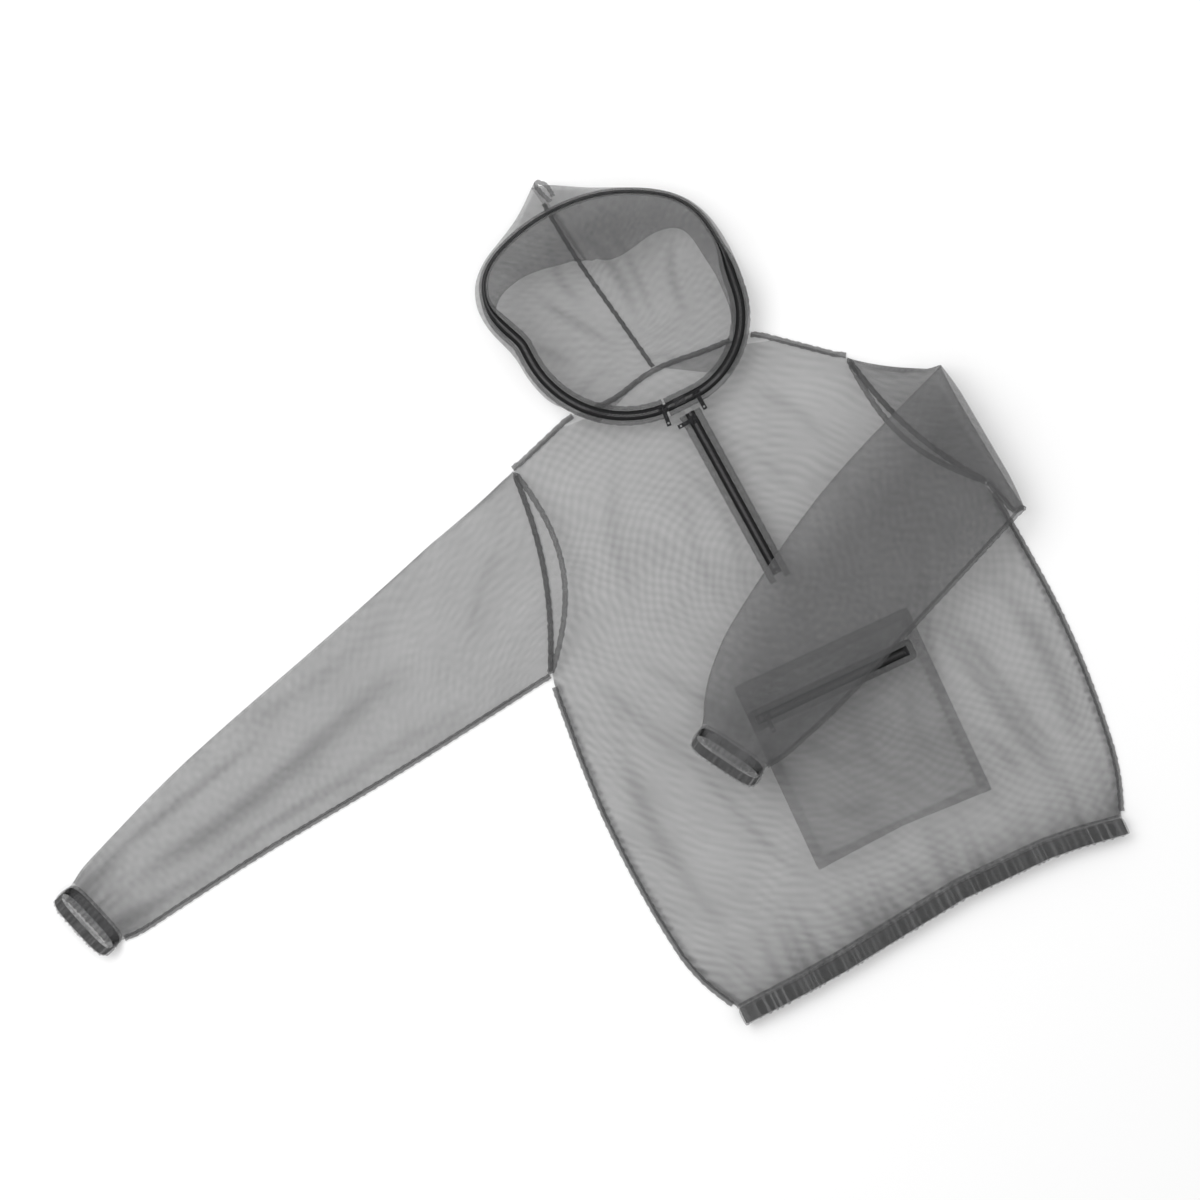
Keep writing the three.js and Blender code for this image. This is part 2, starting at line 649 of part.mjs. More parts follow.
function cuff(name, [top, bottom], base) {
  const [start, end] = chord(top, bottom, -1, casingClear);
  const out = start.clone().sub(top).normalize();
  const inset = casingClear / start.distanceTo(end);
  const edge = (share) => start.clone().lerp(end, mix(inset, 1 - inset, share));
  casing(name, casingFrames(edge, cuffRise + 3, base, out, cuffLean), cuffElasticWidth);
}
cuff('right_cuff', rightCuff, 0);
cuff('left_cuff', leftCuff, foldedBase);

// ---------------------------------------------------------------- hood

// Each half runs from the opening's binding, out over the hood's widest line, and back under to the
// seam up the back of the head. u goes from the neck to the crown.
const hoodClear = seamWidth / 2 + edgeClear;
const crownPeak = v2(crownX - 2, neckLine + crownRise + crownOverhang);
const crownHeight = 5; // of the hood's widest line over the back
const backSeam = spline(
  v2(backNeckX, backNeckRise + seamWidth + 3 * edgeClear),
  v2(mix(backNeckX, crownPeak.x, 0.4), mix(backNeckRise, crownPeak.y, 0.34)),
  v2(mix(backNeckX, crownPeak.x, 0.78), mix(backNeckRise, crownPeak.y, 0.66)),
  crownPeak,
);
const shares = Array.from({ length: rimSteps }, (_, i) => i / rimSteps);
const crownShare = shares.reduce((best, t) => (face.getPointAt(t).y > face.getPointAt(best).y ? t : best), 0);
const crownGap = hoodClear / zipLength;
const peakFrom = 0.76; // the hood's outline leaves the opening here and rises to its peak
for (const [name, sign, from, to] of [
  ['hood_right_half', -1, rightNeckShare + 0.02, crownShare - crownGap],
  ['hood_left_half', 1, leftNeckShare - 0.02, crownShare + crownGap],
]) {
  const wallShare = 0.4; // the share of a half that is its standing wall
  const wallTop = -flat - edgeClear - cloth;
  add(name, sheet((u, v) => {
    const share = mix(from, to, u);
    const edge = inJacket(besideZip(share, bindTo + gap, wallTop));
    const side = flatten(inJacket(besideZip(share, bindTo + gap + hoodOverhang)));
    const peaked = 0.86 * ease(clamp01((u - peakFrom) / (1 - peakFrom)));
    const widest = side.lerp(crownPeak, peaked);
    const seamPoint = backSeam.getPoint(u * 0.93);
    const inner = v2(seamPoint.x + sign * hoodClear, seamPoint.y);
    const low = v3(widest.x, widest.y, backMiddle + crownHeight);
    if (v < wallShare) return edge.lerp(low, v / wallShare);
    const t = (v - wallShare) / (1 - wallShare);
    const under = widest.lerp(inner, t);
    return v3(under.x, under.y, mix(low.z, backMiddle, clamp01(t * 4)));
  }, 12, 10), net);
}

// A flat strip of binding along a line in space.
function ribbon(name, points, steps) {
  const curve = new THREE.CatmullRomCurve3(points);
  const frames = Array.from({ length: steps + 1 }, (_, i) => {
    const tangent = curve.getTangent(i / steps);
    const side = v3(tangent.y, -tangent.x, 0).normalize();
    return { origin: curve.getPoint(i / steps), side, rise: side.clone().cross(tangent).normalize() };
  });
  const outline = rectangle(-seamWidth / 2, seamWidth / 2, -cloth / 2, cloth / 2);
  add(name, sweep(outline, frames), doubledNet);
}
const seamAt = (t) => v3(backSeam.getPoint(t).x, backSeam.getPoint(t).y, backMiddle);
ribbon('hood_back_seam', [0, 0.3, 0.6, 0.86].map(seamAt), 8);
const crownStart = inJacket(besideZip(crownShare, bindTo + edgeClear));
const crownEnd = crownStart.clone().lerp(v3(crownPeak.x, crownPeak.y, backMiddle + crownHeight), 0.75);
ribbon('hood_crown_seam', [crownStart, crownEnd], 2);

// ---------------------------------------------------------------- zip sliders and pulls

// In a slider's own frame the zip runs along Y and its tape's middle is at height 0.
function sliderBody() {
  const [w, l] = [sliderWidth / 2, sliderLength / 2];
  const under = -flat - gap;
  const over = chainTop + gap;
  const neck = neckSlot - 0.7;
  const post = 0.8;
  const bail = new THREE.CylinderGeometry(bailRadius, bailRadius, sliderLength - 1, 8);
  const parts = [
    block(-w, w, -l, l, under - plateThick, under),
    block(-neck, neck, 1 - l, l - 1, under - plateThick / 2, over + plateThick / 2),
    block(-w, w, -l, l, over, over + plateThick),
    bail.translate(0, 0, bailHeight),
  ];
  for (const side of [-1, 1]) {
    const y = side * (l - 1.1);
    parts.push(block(-post, post, y - 0.5, y + 0.5, over + plateThick / 2, bailHeight));
  }
  return join(...parts);
}

// The pull hangs on the bail by a round eye and lies out along +X.
function pullTab() {
  const eyeThick = 1.6;
  const holeRadius = bailRadius + 0.5;
  const eye = new THREE.CylinderGeometry(pullEye, pullEye, eyeThick, 16).translate(0, 0, bailHeight);
  const hole = new THREE.CylinderGeometry(holeRadius, holeRadius, 4, 12).translate(0, 0, bailHeight);
  const [wide, thick] = [pullWidth / 2, pullThick / 2];
  const tab = block(holeRadius + 0.5, pullLength, -wide, wide, bailHeight - thick, bailHeight + thick);
  const window = new THREE.CylinderGeometry(1.3, 1.3, 4, 10).rotateX(Math.PI / 2)
    .translate(pullLength - 3.4, 0, bailHeight);
  return cut(join(eye, tab), hole, window);
}

function sliderOn(group, name, x, y, turn, pullTurn = 0) {
  const place = new THREE.Group();
  place.position.set(x, y, 0);
  place.rotation.z = turn;
  group.add(place);
  add(`${name}_slider`, sliderBody(), blackMetal, place);
  add(`${name}_pull`, pullTab(), blackMetal, place).rotation.z = pullTurn;
}

// The two sliders of the face zip stand at its ends. Their pulls hang down over the chest.
const sliderClear = sliderLength / 2 + chinClear;
for (const [name, centre, radius, end, sign] of [
  ['hood_zip_right', rightArcCentre, rightArcRadius, rightStart, -1],
  ['hood_zip_left', leftArcCentre, leftArcRadius, leftEnd, 1],
]) {
  const angle = end + (sign * sliderClear) / radius;
  const p = arcPoint(centre, radius, angle);
  sliderOn(opening, name, p.x, p.y, angle);
}

// ---------------------------------------------------------------- chest zip

const facingLift = cloth / 2 + gap;
for (const [side, sign] of [['right', -1], ['left', 1]]) {
  const strip = (from, to, low, high, base, top) => {
    const [x0, x1] = [sign * from, sign * to].sort((a, b) => a - b);
    return block(x0, x1, low, high, base, top);
  };
  const end = -frontZipLength;
  const tape = strip(tapeFrom, tapeTo, end, 0, -flat, flat);
  const coil = strip(neckSlot, coilTo, end + 2 * stopLength, 0, coilBase, chainTop);
  const facing = strip(
    slitHalf + gap, slitHalf + gap + facingWidth, end - facingPast, -4, facingLift, facingLift + facingThick);
  add(`front_zip_${side}_tape`, tape, zipTape, frontZip);
  add(`front_zip_${side}_coil`, coil, zipCoil, frontZip);
  add(`front_zip_${side}_facing`, facing, doubledNet, frontZip);
}
const stopEnd = 2 * stopLength - gap - frontZipLength;
add('front_zip_bottom_stop', block(-coilTo, coilTo, stopEnd - stopLength, stopEnd, coilBase, chainTop),
  blackMetal, frontZip);
sliderOn(frontZip, 'front_zip', 0, -frontSliderInset, 0, Math.PI);

// ---------------------------------------------------------------- pocket

// The pocket zip's own frame: its +X runs along the zip, from the right end.
const pocketZip = new THREE.Group();
pocketZip.position.set(pocketZipRight, pocketZipY, pocketTopZ);
pocketZip.updateMatrix();
jacket.add(pocketZip);
const pocketZipLength = pocketZipLeft - pocketZipRight;
const pocketEdgeZ = frontTop + cloth + gap;
const pouch = sheet((u, v) => {
  const x = mix(pocketRight, pocketLeft, crowd(u, 0.375, pocketSlope / (pocketLeft - pocketRight)));
  const y = mix(pocketBottom, pocketTop, crowd(v, 0.375, pocketSlope / (pocketTop - pocketBottom)));
  const inset = Math.min(x - pocketRight, pocketLeft - x, y - pocketBottom, pocketTop - y);
  return v3(x, y, mix(pocketEdgeZ, pocketTopZ, pillow(inset, pocketSlope)));
}, 8, 8);
const pocketSlot = block(-gap, pocketZipLength + gap, -slitHalf, slitHalf, -4, 4)
  .applyMatrix4(pocketZip.matrix);
add('pocket_panel', cut(pouch, pocketSlot), net);
for (const [side, sign] of [['lower', -1], ['upper', 1]]) {
  const strip = (from, to, inset, base, top) => {
    const [y0, y1] = [sign * from, sign * to].sort((a, b) => a - b);
    return block(inset, pocketZipLength - inset, y0, y1, base, top);
  };
  add(`pocket_zip_${side}_tape`, strip(tapeFrom, tapeTo, 0, -flat, flat), zipTape, pocketZip);
  const coil = strip(neckSlot, coilTo, 2 * gap + stopLength, coilBase, chainTop);
  add(`pocket_zip_${side}_coil`, coil, zipCoil, pocketZip);
}
for (const [side, x] of [['right', gap], ['left', pocketZipLength - gap - stopLength]]) {
  const stop = block(x, x + stopLength, -coilTo, coilTo, coilBase, chainTop);
  add(`pocket_zip_${side}_stop`, stop, blackMetal, pocketZip);
}
const frameHole = block(-gap, pocketZipLength + gap, -slitHalf - gap, slitHalf + gap, 0, 4);
const frame = block(-facingWidth, pocketZipLength + facingWidth, -slitHalf - facingWidth,
  slitHalf + facingWidth, facingLift, facingLift + facingThick);
add('pocket_zip_facing', cut(frame, frameHole), doubledNet, pocketZip);
sliderOn(pocketZip, 'pocket_zip', pocketSliderInset, 0, -Math.PI / 2);

export default jacket;
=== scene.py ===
"""The looks of a sheer net beekeeper's jacket, laid flat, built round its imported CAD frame.

Metres, in the frame's own axes: +Z up, +Y towards the hood, +X towards the wearer's left. Cloth is made as
single sheets of net, traced from the CAD solids that they stand for; zips, seams and gathered edges are
made as the pieces that they are sewn from.
"""

import json
import logging
import math
from collections.abc import Callable, Sequence
from dataclasses import dataclass, field
from enum import Enum

import bpy
import numpy as np
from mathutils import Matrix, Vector
from mathutils.bvhtree import BVHTree
from mathutils.geometry import delaunay_2d_cdt


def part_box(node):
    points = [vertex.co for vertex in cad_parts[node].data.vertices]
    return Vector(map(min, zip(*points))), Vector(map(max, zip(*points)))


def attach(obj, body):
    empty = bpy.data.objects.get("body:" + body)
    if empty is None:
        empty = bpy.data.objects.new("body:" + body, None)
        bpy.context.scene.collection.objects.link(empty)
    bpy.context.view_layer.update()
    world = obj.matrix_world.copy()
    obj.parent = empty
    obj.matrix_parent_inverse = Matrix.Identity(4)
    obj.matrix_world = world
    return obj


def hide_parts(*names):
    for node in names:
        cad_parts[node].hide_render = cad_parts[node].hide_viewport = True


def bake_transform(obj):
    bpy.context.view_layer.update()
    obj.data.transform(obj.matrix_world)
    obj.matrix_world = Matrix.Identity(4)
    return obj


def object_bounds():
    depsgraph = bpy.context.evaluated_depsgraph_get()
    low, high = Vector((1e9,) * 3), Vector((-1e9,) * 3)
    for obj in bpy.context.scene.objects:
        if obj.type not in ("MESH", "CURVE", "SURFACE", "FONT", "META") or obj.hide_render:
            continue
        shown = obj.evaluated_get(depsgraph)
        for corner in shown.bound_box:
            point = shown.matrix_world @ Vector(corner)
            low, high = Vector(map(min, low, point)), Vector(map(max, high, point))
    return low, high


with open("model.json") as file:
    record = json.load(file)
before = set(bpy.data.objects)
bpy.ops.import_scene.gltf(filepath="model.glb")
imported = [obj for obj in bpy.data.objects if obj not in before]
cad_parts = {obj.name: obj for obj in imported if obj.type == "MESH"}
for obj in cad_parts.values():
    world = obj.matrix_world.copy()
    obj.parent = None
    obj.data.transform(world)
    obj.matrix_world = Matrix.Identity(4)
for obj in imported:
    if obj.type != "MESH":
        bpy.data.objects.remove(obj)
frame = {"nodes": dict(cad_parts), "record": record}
CAD_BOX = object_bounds()
LOG = logging.getLogger("jacket")

Array = np.ndarray
Point = Sequence[float]
HALF_CLOTH = 0.0006  # from the middle of a CAD net panel to its face
SEED = 11


class Body(Enum):
    """The bodies that pieces ride on."""

    JACKET = "jacket"
    RIGHT_SLEEVE = "right_sleeve"
    LEFT_SLEEVE = "left_sleeve"


# ---------------------------------------------------------------- lines and solids


def unit(vector: Point) -> Array:
    """The vector at length 1."""
    v = np.asarray(vector, float)
    return v / np.linalg.norm(v)


def across(direction: Array) -> Array:
    """A flat direction turned a quarter turn to the left."""
    return np.array([-direction[1], direction[0]])


def ease(t: Array) -> Array:
    """A smooth step from 0 to 1."""
    t = np.clip(t, 0, 1)
    return t * t * (3 - 2 * t)


def pillow(distance: Array, reach: float) -> Array:
    """The height, from 0 to 1, of cloth that slopes up from a closed edge over a reach."""
    return np.sin(np.pi / 2 * np.clip(np.asarray(distance) / reach, 0, 1))


def smooth_line(points: Sequence[Point], count: int) -> Array:
    """A smooth line through points.

    Args:
        points: The points that it passes through, two or more.
        count: How many points it comes back with.

    Returns:
        The line, one point a row.
    """
    p = np.asarray(points, float)
    ends = np.vstack([2 * p[0] - p[1], p, 2 * p[-1] - p[-2]])
    t = np.linspace(0, len(p) - 1, count)
    i = np.clip(t.astype(int), 0, len(p) - 2)
    f = (t - i)[:, None]
    a, b, c, d = (ends[i + k] for k in range(4))
    return 0.5 * (2 * b + (c - a) * f + (2 * a - 5 * b + 4 * c - d) * f**2 + (3 * b - a - 3 * c + d) * f**3)


def run_along(line: Array) -> Array:
    """How far along a line each of its points is."""
    return np.r_[0, np.cumsum(np.linalg.norm(np.diff(line, axis=0), axis=1))]


def even_line(line: Array, spacing: float) -> Array:
    """The same line with its points evenly spaced.

    Args:
        line: The line, one point a row.
        spacing: About how far apart the points come.

    Returns:
        The line again, one point a row.
    """
    at = run_along(line)
    wanted = np.linspace(0, at[-1], max(2, round(at[-1] / spacing) + 1))
    return np.column_stack([np.interp(wanted, at, line[:, k]) for k in range(line.shape[1])])


def averaged(values: Array, rounds: int, closed: bool = False) -> Array:
    """A run of values or points with its small kinks averaged out, its ends held unless it is closed."""
    v = np.array(values, float)
    for _ in range(rounds):
        if closed:
            v = (np.roll(v, 1, 0) + 2 * v + np.roll(v, -1, 0)) / 4
        else:
            v[1:-1] = (v[:-2] + 2 * v[1:-1] + v[2:]) / 4
    return v


def nearest_on(line: Array, places: Array) -> tuple[Array, Array]:
    """How far places are from a line, and how far along it they come.

    Args:
        line: The line's flat points.
        places: Flat places, one a row.

    Returns:
        Each place's distance from the line, and its share of the way along, from 0 to 1.
    """
    at = run_along(line)
    best = np.full(len(places), np.inf)
    share = np.zeros(len(places))
    for i in range(len(line) - 1):
        d = line[i + 1] - line[i]
        t = np.clip((places - line[i]) @ d / max(d @ d, 1e-18), 0, 1)
        away = np.linalg.norm(places - line[i] - t[:, None] * d, axis=1)
        nearer = away < best
        best[nearer] = away[nearer]
        share[nearer] = ((at[i] + t * (at[i + 1] - at[i])) / at[-1])[nearer]
    return best, share


class Solid:
    """The surface of one or more CAD nodes, for tracing what stands for them."""

    def __init__(self, *nodes: str) -> None:
        """Reads the nodes' meshes and welds them."""
        points, faces, taken = [], [], 0
        for node in nodes:
            mesh = frame["nodes"][node].data
            mesh.calc_loop_triangles()
            points.append(np.array([v.co for v in mesh.vertices], float))
            faces.append(np.array([t.vertices[:] for t in mesh.loop_triangles]) + taken)
            taken += len(mesh.vertices)
        self.points, same = np.unique(np.round(np.vstack(points), 6), axis=0, return_inverse=True)
        self.faces = same.reshape(-1)[np.vstack(faces)]
        self.tree = BVHTree.FromPolygons(self.points.tolist(), self.faces.tolist())
        sides = [self.faces[:, [a, b]] for a, b in ((0, 1), (1, 2), (2, 0))]
        pairs = np.sort(np.vstack(sides), axis=1)
        self.edges = np.unique(pairs, axis=0)

    def section(self, place: Point, direction: Point) -> tuple[Array, Array]:
        """Where an upright plane cuts the solid.

        Args:
            place: A flat place in the plane.
            direction: The flat direction that the plane runs in.

        Returns:
            How far along the direction the cut's points are, and how high.
        """
        d = unit(direction)
        side = (self.points[:, :2] - place) @ across(d) + 1e-9
        a, b = self.edges.T
        cut = side[a] * side[b] < 0
        a, b = a[cut], b[cut]
        t = (side[a] / (side[a] - side[b]))[:, None]
        p = self.points[a] + t * (self.points[b] - self.points[a])
        return (p[:, :2] - place) @ d, p[:, 2]

    def centreline(self, direction: Point, count: int) -> Array:
        """The middle of a strip-like solid.

        Args:
            direction: The flat direction that it mainly runs in.
            count: How many places to cut it at.

        Returns:
            The line along its middle, one point a row.
        """
        d = unit(direction)
        along = self.points[:, :2] @ d
        inset = 0.0005
        rows = []
        for t in np.linspace(along.min() + inset, along.max() - inset, count):
            wide, high = self.section(d * t, across(d))
            middle = d * t + across(d) * (wide.min() + wide.max()) / 2
            rows.append((*middle, (high.min() + high.max()) / 2))
        return np.array(rows)

    def outline(self) -> Array:
        """The flat outline of the faces that look up, as a closed run of points, anticlockwise."""
        corners = self.points[self.faces]
        normals = np.cross(corners[:, 1] - corners[:, 0], corners[:, 2] - corners[:, 0])
        up = self.faces[normals[:, 2] > 0.3 * np.linalg.norm(normals, axis=1)]
        directed = {(a, b) for f in up for a, b in zip(f, np.roll(f, -1))}
        following = {a: b for a, b in directed if (b, a) not in directed}
        loops = []
        while following:
            start, at = following.popitem()
            loop = [start]
            while at != start and at in following:
                loop.append(at)
                at = following.pop(at)
            loops.append(loop)
        return self.points[max(loops, key=len)][:, :2]

    def height(self, places: Array) -> Array:
        """How high the solid's top is at flat places, or beside them where they miss it."""
        rows = []
        for x, y in places:
            hit = self.tree.ray_cast(Vector((x, y, 1)), Vector((0, 0, -1)))[0]
            if hit is None:
                hit = self.tree.find_nearest(Vector((x, y, self.points[:, 2].mean())))[0]
            rows.append(hit.z)
        return np.array(rows)

    def ends(self) -> tuple[Array, Array]:
        """The two flat ends of a long band or loop, the one with the larger Y first."""
        flat = self.points[:, :2]
        middle = flat.mean(0)
        long_way = np.linalg.svd(flat - middle, full_matrices=False)[2][0]
        long_way = long_way * (1 if long_way[1] > 0 else -1)
        along = (flat - middle) @ long_way
        near = 0.0015
        last = flat[along > along.max() - near].mean(0)
        first = flat[along < along.min() + near].mean(0)
        return last, first


# ---------------------------------------------------------------- cloth


@dataclass(frozen=True)
class Crease:
    """A fold that stands up in a sheet of cloth, drawn on the flat.

    Attributes:
        line: Flat places that the fold passes through.
        rise: How high it stands.
        spread: How far it spreads each side.
        density: How much more cloth the eye looks through there.
        from_edge: True if it starts at a gathered edge at its full height.
    """

    line: tuple[tuple[float, float], ...]
    rise: float = 0.003
    spread: float = 0.006
    density: float = 0.35
    from_edge: bool = False


@dataclass
class Cloth:
    """A sheet of cloth as it lies, with the flat place of each point in the cloth and its density."""

    points: Array
    faces: list[tuple[int, ...]]
    flat: Array
    density: Array = field(default=None)

    def __post_init__(self) -> None:
        """Starts with an even density."""
        if self.density is None:
            self.density = np.zeros(len(self.points))

    def edges(self) -> Array:
        """Every edge once, as pairs of point numbers."""
        pairs = [(f[i], f[(i + 1) % len(f)]) for f in self.faces for i in range(len(f))]
        return np.unique(np.sort(np.array(pairs), axis=1), axis=0)

    def rim(self) -> Array:
        """True at each point on an open edge."""
        pairs = np.sort([(f[i], f[(i + 1) % len(f)]) for f in self.faces for i in range(len(f))], axis=1)
        once, counts = np.unique(pairs, axis=0, return_counts=True)
        held = np.zeros(len(self.points), bool)
        held[once[counts == 1].ravel()] = True
        return held

    def settle(self, rounds: int) -> None:
        """Evens out the heights, with the open edges held."""
        a, b = self.edges().T
        held = self.rim()
        count = np.bincount(np.r_[a, b], minlength=len(self.points))
        for _ in range(rounds):
            z = self.points[:, 2]
            total = np.bincount(np.r_[a, b], np.r_[z[b], z[a]], minlength=len(z))
            self.points[:, 2] = np.where(held, z, (z + total / np.maximum(count, 1)) / 2)

    def normals(self) -> Array:
        """The sheet's normal at each point."""
        out = np.zeros_like(self.points)
        for size in {len(f) for f in self.faces}:
            f = np.array([f for f in self.faces if len(f) == size])
            p = self.points[f]
            n = np.cross(p[:, 2] - p[:, 0], (p[:, 3] if size == 4 else p[:, 1]) - p[:, 1 if size == 4 else 0])
            for k in range(size):
                np.add.at(out, f[:, k], n)
        return out / np.maximum(np.linalg.norm(out, axis=1, keepdims=True), 1e-12)

    def fold(self, creases: Sequence[Crease], sign: float = 1) -> None:
        """Raises creases in the sheet.

        Args:
            creases: The folds, in the sheet's own flat places as it lies.
            sign: 1 where they stand up, -1 where they hang down.
        """
        for crease in creases:
            line = smooth_line(crease.line, 8 * len(crease.line))
            away, share = nearest_on(line, self.points[:, :2])
            taper = ease(share / 0.35) * ease((1 - share) / 0.45)
            if crease.from_edge:
                taper = ease((1 - share) / 0.9)
            profile = np.exp(-((away / crease.spread) ** 2)) * taper
            self.points[:, 2] += sign * crease.rise * profile
            self.density += FOLD_COVER * crease.density * profile

    def wave(self, height: float, length: float, seed: int = SEED) -> None:
        """Gives the sheet long shallow waves, of about that height and length, with its open edges held."""
        draws = np.random.default_rng(seed)
        held = self.rim()
        z = np.zeros(len(self.points))
        waves = 7
        for _ in range(waves):
            angle, phase = draws.uniform(0, 2 * np.pi, 2)
            stretch = draws.uniform(0.6, 1.7)
            way = np.array([math.cos(angle), math.sin(angle)]) * 2 * np.pi / (length * stretch)
            z += np.sin(self.flat @ way + phase)
        self.points[:, 2] += np.where(held, 0, height * z / math.sqrt(waves))

    def thicken_on_slopes(self, share: float = 0.5, most: float = 1.5) -> None:
        """Adds density where the sheet stands on edge, as more threads lie behind each other there."""
        upright = np.abs(self.normals()[:, 2])
        self.density += share * np.minimum(1 / np.maximum(upright, 0.2) - 1, most)

    def cut_area(self) -> float:
        """The area of its flat pattern."""
        total = 0.0
        for face in self.faces:
            x, y = self.flat[list(face)].T
            total += abs(np.dot(x, np.roll(y, -1)) - np.dot(y, np.roll(x, -1))) / 2
        return float(total)

    def piece(self, name: str, material: bpy.types.Material) -> bpy.types.Object:
        """Makes the sheet an object.

        Args:
            name: The piece's name.
            material: Its finish.

        Returns:
            The object, in the frame's own place.
        """
        mesh = bpy.data.meshes.new(name)
        mesh.from_pydata(self.points.tolist(), [], self.faces)
        corners = np.zeros(len(mesh.loops), int)
        mesh.loops.foreach_get("vertex_index", corners)
        mesh.uv_layers.new(name=FLAT_MAP).data.foreach_set("uv", self.flat[corners].ravel())
        mesh.attributes.new(DENSITY, "FLOAT", "POINT").data.foreach_set("value", self.density)
        mesh.materials.append(material)
        mesh.shade_smooth()
        made = bpy.data.objects.new(name, mesh)
        bpy.context.scene.collection.objects.link(made)
        return made


FLAT_MAP = "Cloth"
DENSITY = "extra_cover"
FOLD_COVER = 2.2


def grid_cloth(rows: Array, flat: Array, closed: bool = False) -> Cloth:
    """A sheet from rows of points.

    Args:
        rows: Points in rows and columns.
        flat: Each point's flat place in the cloth, in the same rows and columns.
        closed: True if each row's last point joins its first.

    Returns:
        The sheet.
    """
    down, wide = rows.shape[:2]
    columns = wide if closed else wide - 1
    faces = [
        (j * wide + i, j * wide + (i + 1) % wide, (j + 1) * wide + (i + 1) % wide, (j + 1) * wide + i)
        for j in range(down - 1) for i in range(columns)
    ]
    return Cloth(rows.reshape(-1, 3).copy(), faces, flat.reshape(-1, 2).copy())


def grown(outline: Array, distance: float) -> Array:
    """A closed outline moved outwards by a distance."""
    before, after = np.roll(outline, 1, 0), np.roll(outline, -1, 0)
    ways = [(b - a) / np.maximum(np.linalg.norm(b - a, axis=1, keepdims=True), 1e-9)
            for a, b in ((before, outline), (outline, after))]
    out = np.column_stack([(ways[0] + ways[1])[:, 1], -(ways[0] + ways[1])[:, 0]])
    return outline + distance * out / np.maximum(np.linalg.norm(out, axis=1, keepdims=True), 0.4)


def inside(outline: Array, places: Array) -> Array:
    """True at each place that a closed outline goes round."""
    found = np.zeros(len(places), bool)
    x, y = places.T
    for (x0, y0), (x1, y1) in zip(outline, np.roll(outline, -1, 0)):
        if y0 != y1:
            found ^= ((y0 > y) != (y1 > y)) & (x < x0 + (y - y0) * (x1 - x0) / (y1 - y0))
    return found


def cut_cloth(outline: Array, spacing: float) -> Cloth:
    """A flat sheet of cloth cut to an outline.

    Args:
        outline: The closed outline, anticlockwise.
        spacing: About how far apart its points come.

    Returns:
        The sheet, at height 0.
    """
    edge = np.vstack([
        a + (b - a) * np.arange(n)[:, None] / n
        for a, b in zip(outline, np.roll(outline, -1, 0))
        for n in [max(1, math.ceil(np.linalg.norm(b - a) / spacing))]
    ])
    low, high = edge.min(0), edge.max(0)
    row_step = spacing * math.sqrt(3) / 2
    xs, ys = np.meshgrid(np.arange(low[0], high[0], spacing), np.arange(low[1], high[1], row_step))
    xs[1::2] += spacing / 2
    places = np.column_stack([xs.ravel(), ys.ravel()])
    places = places[inside(outline, places)]
    gaps = np.array([np.min(np.linalg.norm(edge - p, axis=1)) for p in places])
    points = np.vstack([edge, places[gaps > 0.6 * spacing]])
    ring = [(i, (i + 1) % len(edge)) for i in range(len(edge))]
    made, _, faces, *_ = delaunay_2d_cdt([Vector(p) for p in points], ring, [], 1, 1e-7)
    flat = np.array([p[:] for p in made])
    return Cloth(np.column_stack([flat, np.zeros(len(flat))]), [tuple(f) for f in faces], flat)


# ---------------------------------------------------------------- finishes


class Wiring:
    """Adds shader nodes to one tree and links them."""

    def __init__(self, tree: bpy.types.NodeTree) -> None:
        """Works on one tree."""
        self.tree = tree

    def node(self, kind: str, inputs: dict | None = None, **settings: object) -> bpy.types.Node:
        """Adds a node.

        Args:
            kind: The node's type.
            inputs: Its inputs by name or number, each a value or another node's output.
            settings: Its own properties.

        Returns:
            The node.
        """
        made = self.tree.nodes.new(kind)
        for key, value in settings.items():
            setattr(made, key, value)
        for key, value in (inputs or {}).items():
            if isinstance(value, bpy.types.NodeSocket):
                self.tree.links.new(value, made.inputs[key])
            else:
                made.inputs[key].default_value = value
        return made

    def maths(self, operation: str, *values: object) -> bpy.types.NodeSocket:
        """The output of a Math node on these values."""
        return self.node("ShaderNodeMath", dict(enumerate(values)), operation=operation).outputs[0]


def group(name: str, takes: dict[str, object], gives: Sequence[str],
          fill: Callable[[Wiring, bpy.types.NodeOutputs], dict[str, object]]) -> bpy.types.NodeTree:
    """A shader node group, built once.

    Args:
        name: Its name.
        takes: Its inputs and their usual values. A three-part value is a vector.
        gives: Its outputs.
        fill: Builds the inside, and returns what feeds each output.

    Returns:
        The group.
    """
    if name in bpy.data.node_groups:
        return bpy.data.node_groups[name]
    tree = bpy.data.node_groups.new(name, "ShaderNodeTree")
    for key, value in takes.items():
        kind = "NodeSocketVector" if isinstance(value, tuple) else "NodeSocketFloat"
        tree.interface.new_socket(name=key, in_out="INPUT", socket_type=kind).default_value = value
    for key in gives:
        tree.interface.new_socket(name=key, in_out="OUTPUT", socket_type="NodeSocketFloat")
    wiring = Wiring(tree)
    given = fill(wiring, tree.nodes.new("NodeGroupInput").outputs)
    wiring.node("NodeGroupOutput", given)
    return tree


def thread_group() -> bpy.types.NodeTree:
    """Threads woven both ways. Gives Threads, 1 on a thread and 0 in a hole."""

    def fill(w: Wiring, given: bpy.types.NodeOutputs) -> dict[str, object]:
        parts = w.node("ShaderNodeSeparateXYZ", {0: given["Place"]}).outputs
        ways = []
        for part in (parts[0], parts[1]):
            turns = w.maths("DIVIDE", part, given["Pitch"])
            ways.append(w.maths("PINGPONG", turns, 0.5))
        nearest = w.maths("MULTIPLY", w.maths("MINIMUM", *ways), 2.0)
        return {"Threads": w.maths("SMOOTH_MIN", w.maths("SUBTRACT", 1.0, nearest), 1.0, 0.2)}

    return group("threads", {"Place": (0.0, 0.0, 0.0), "Pitch": 0.0012}, ["Threads"], fill)


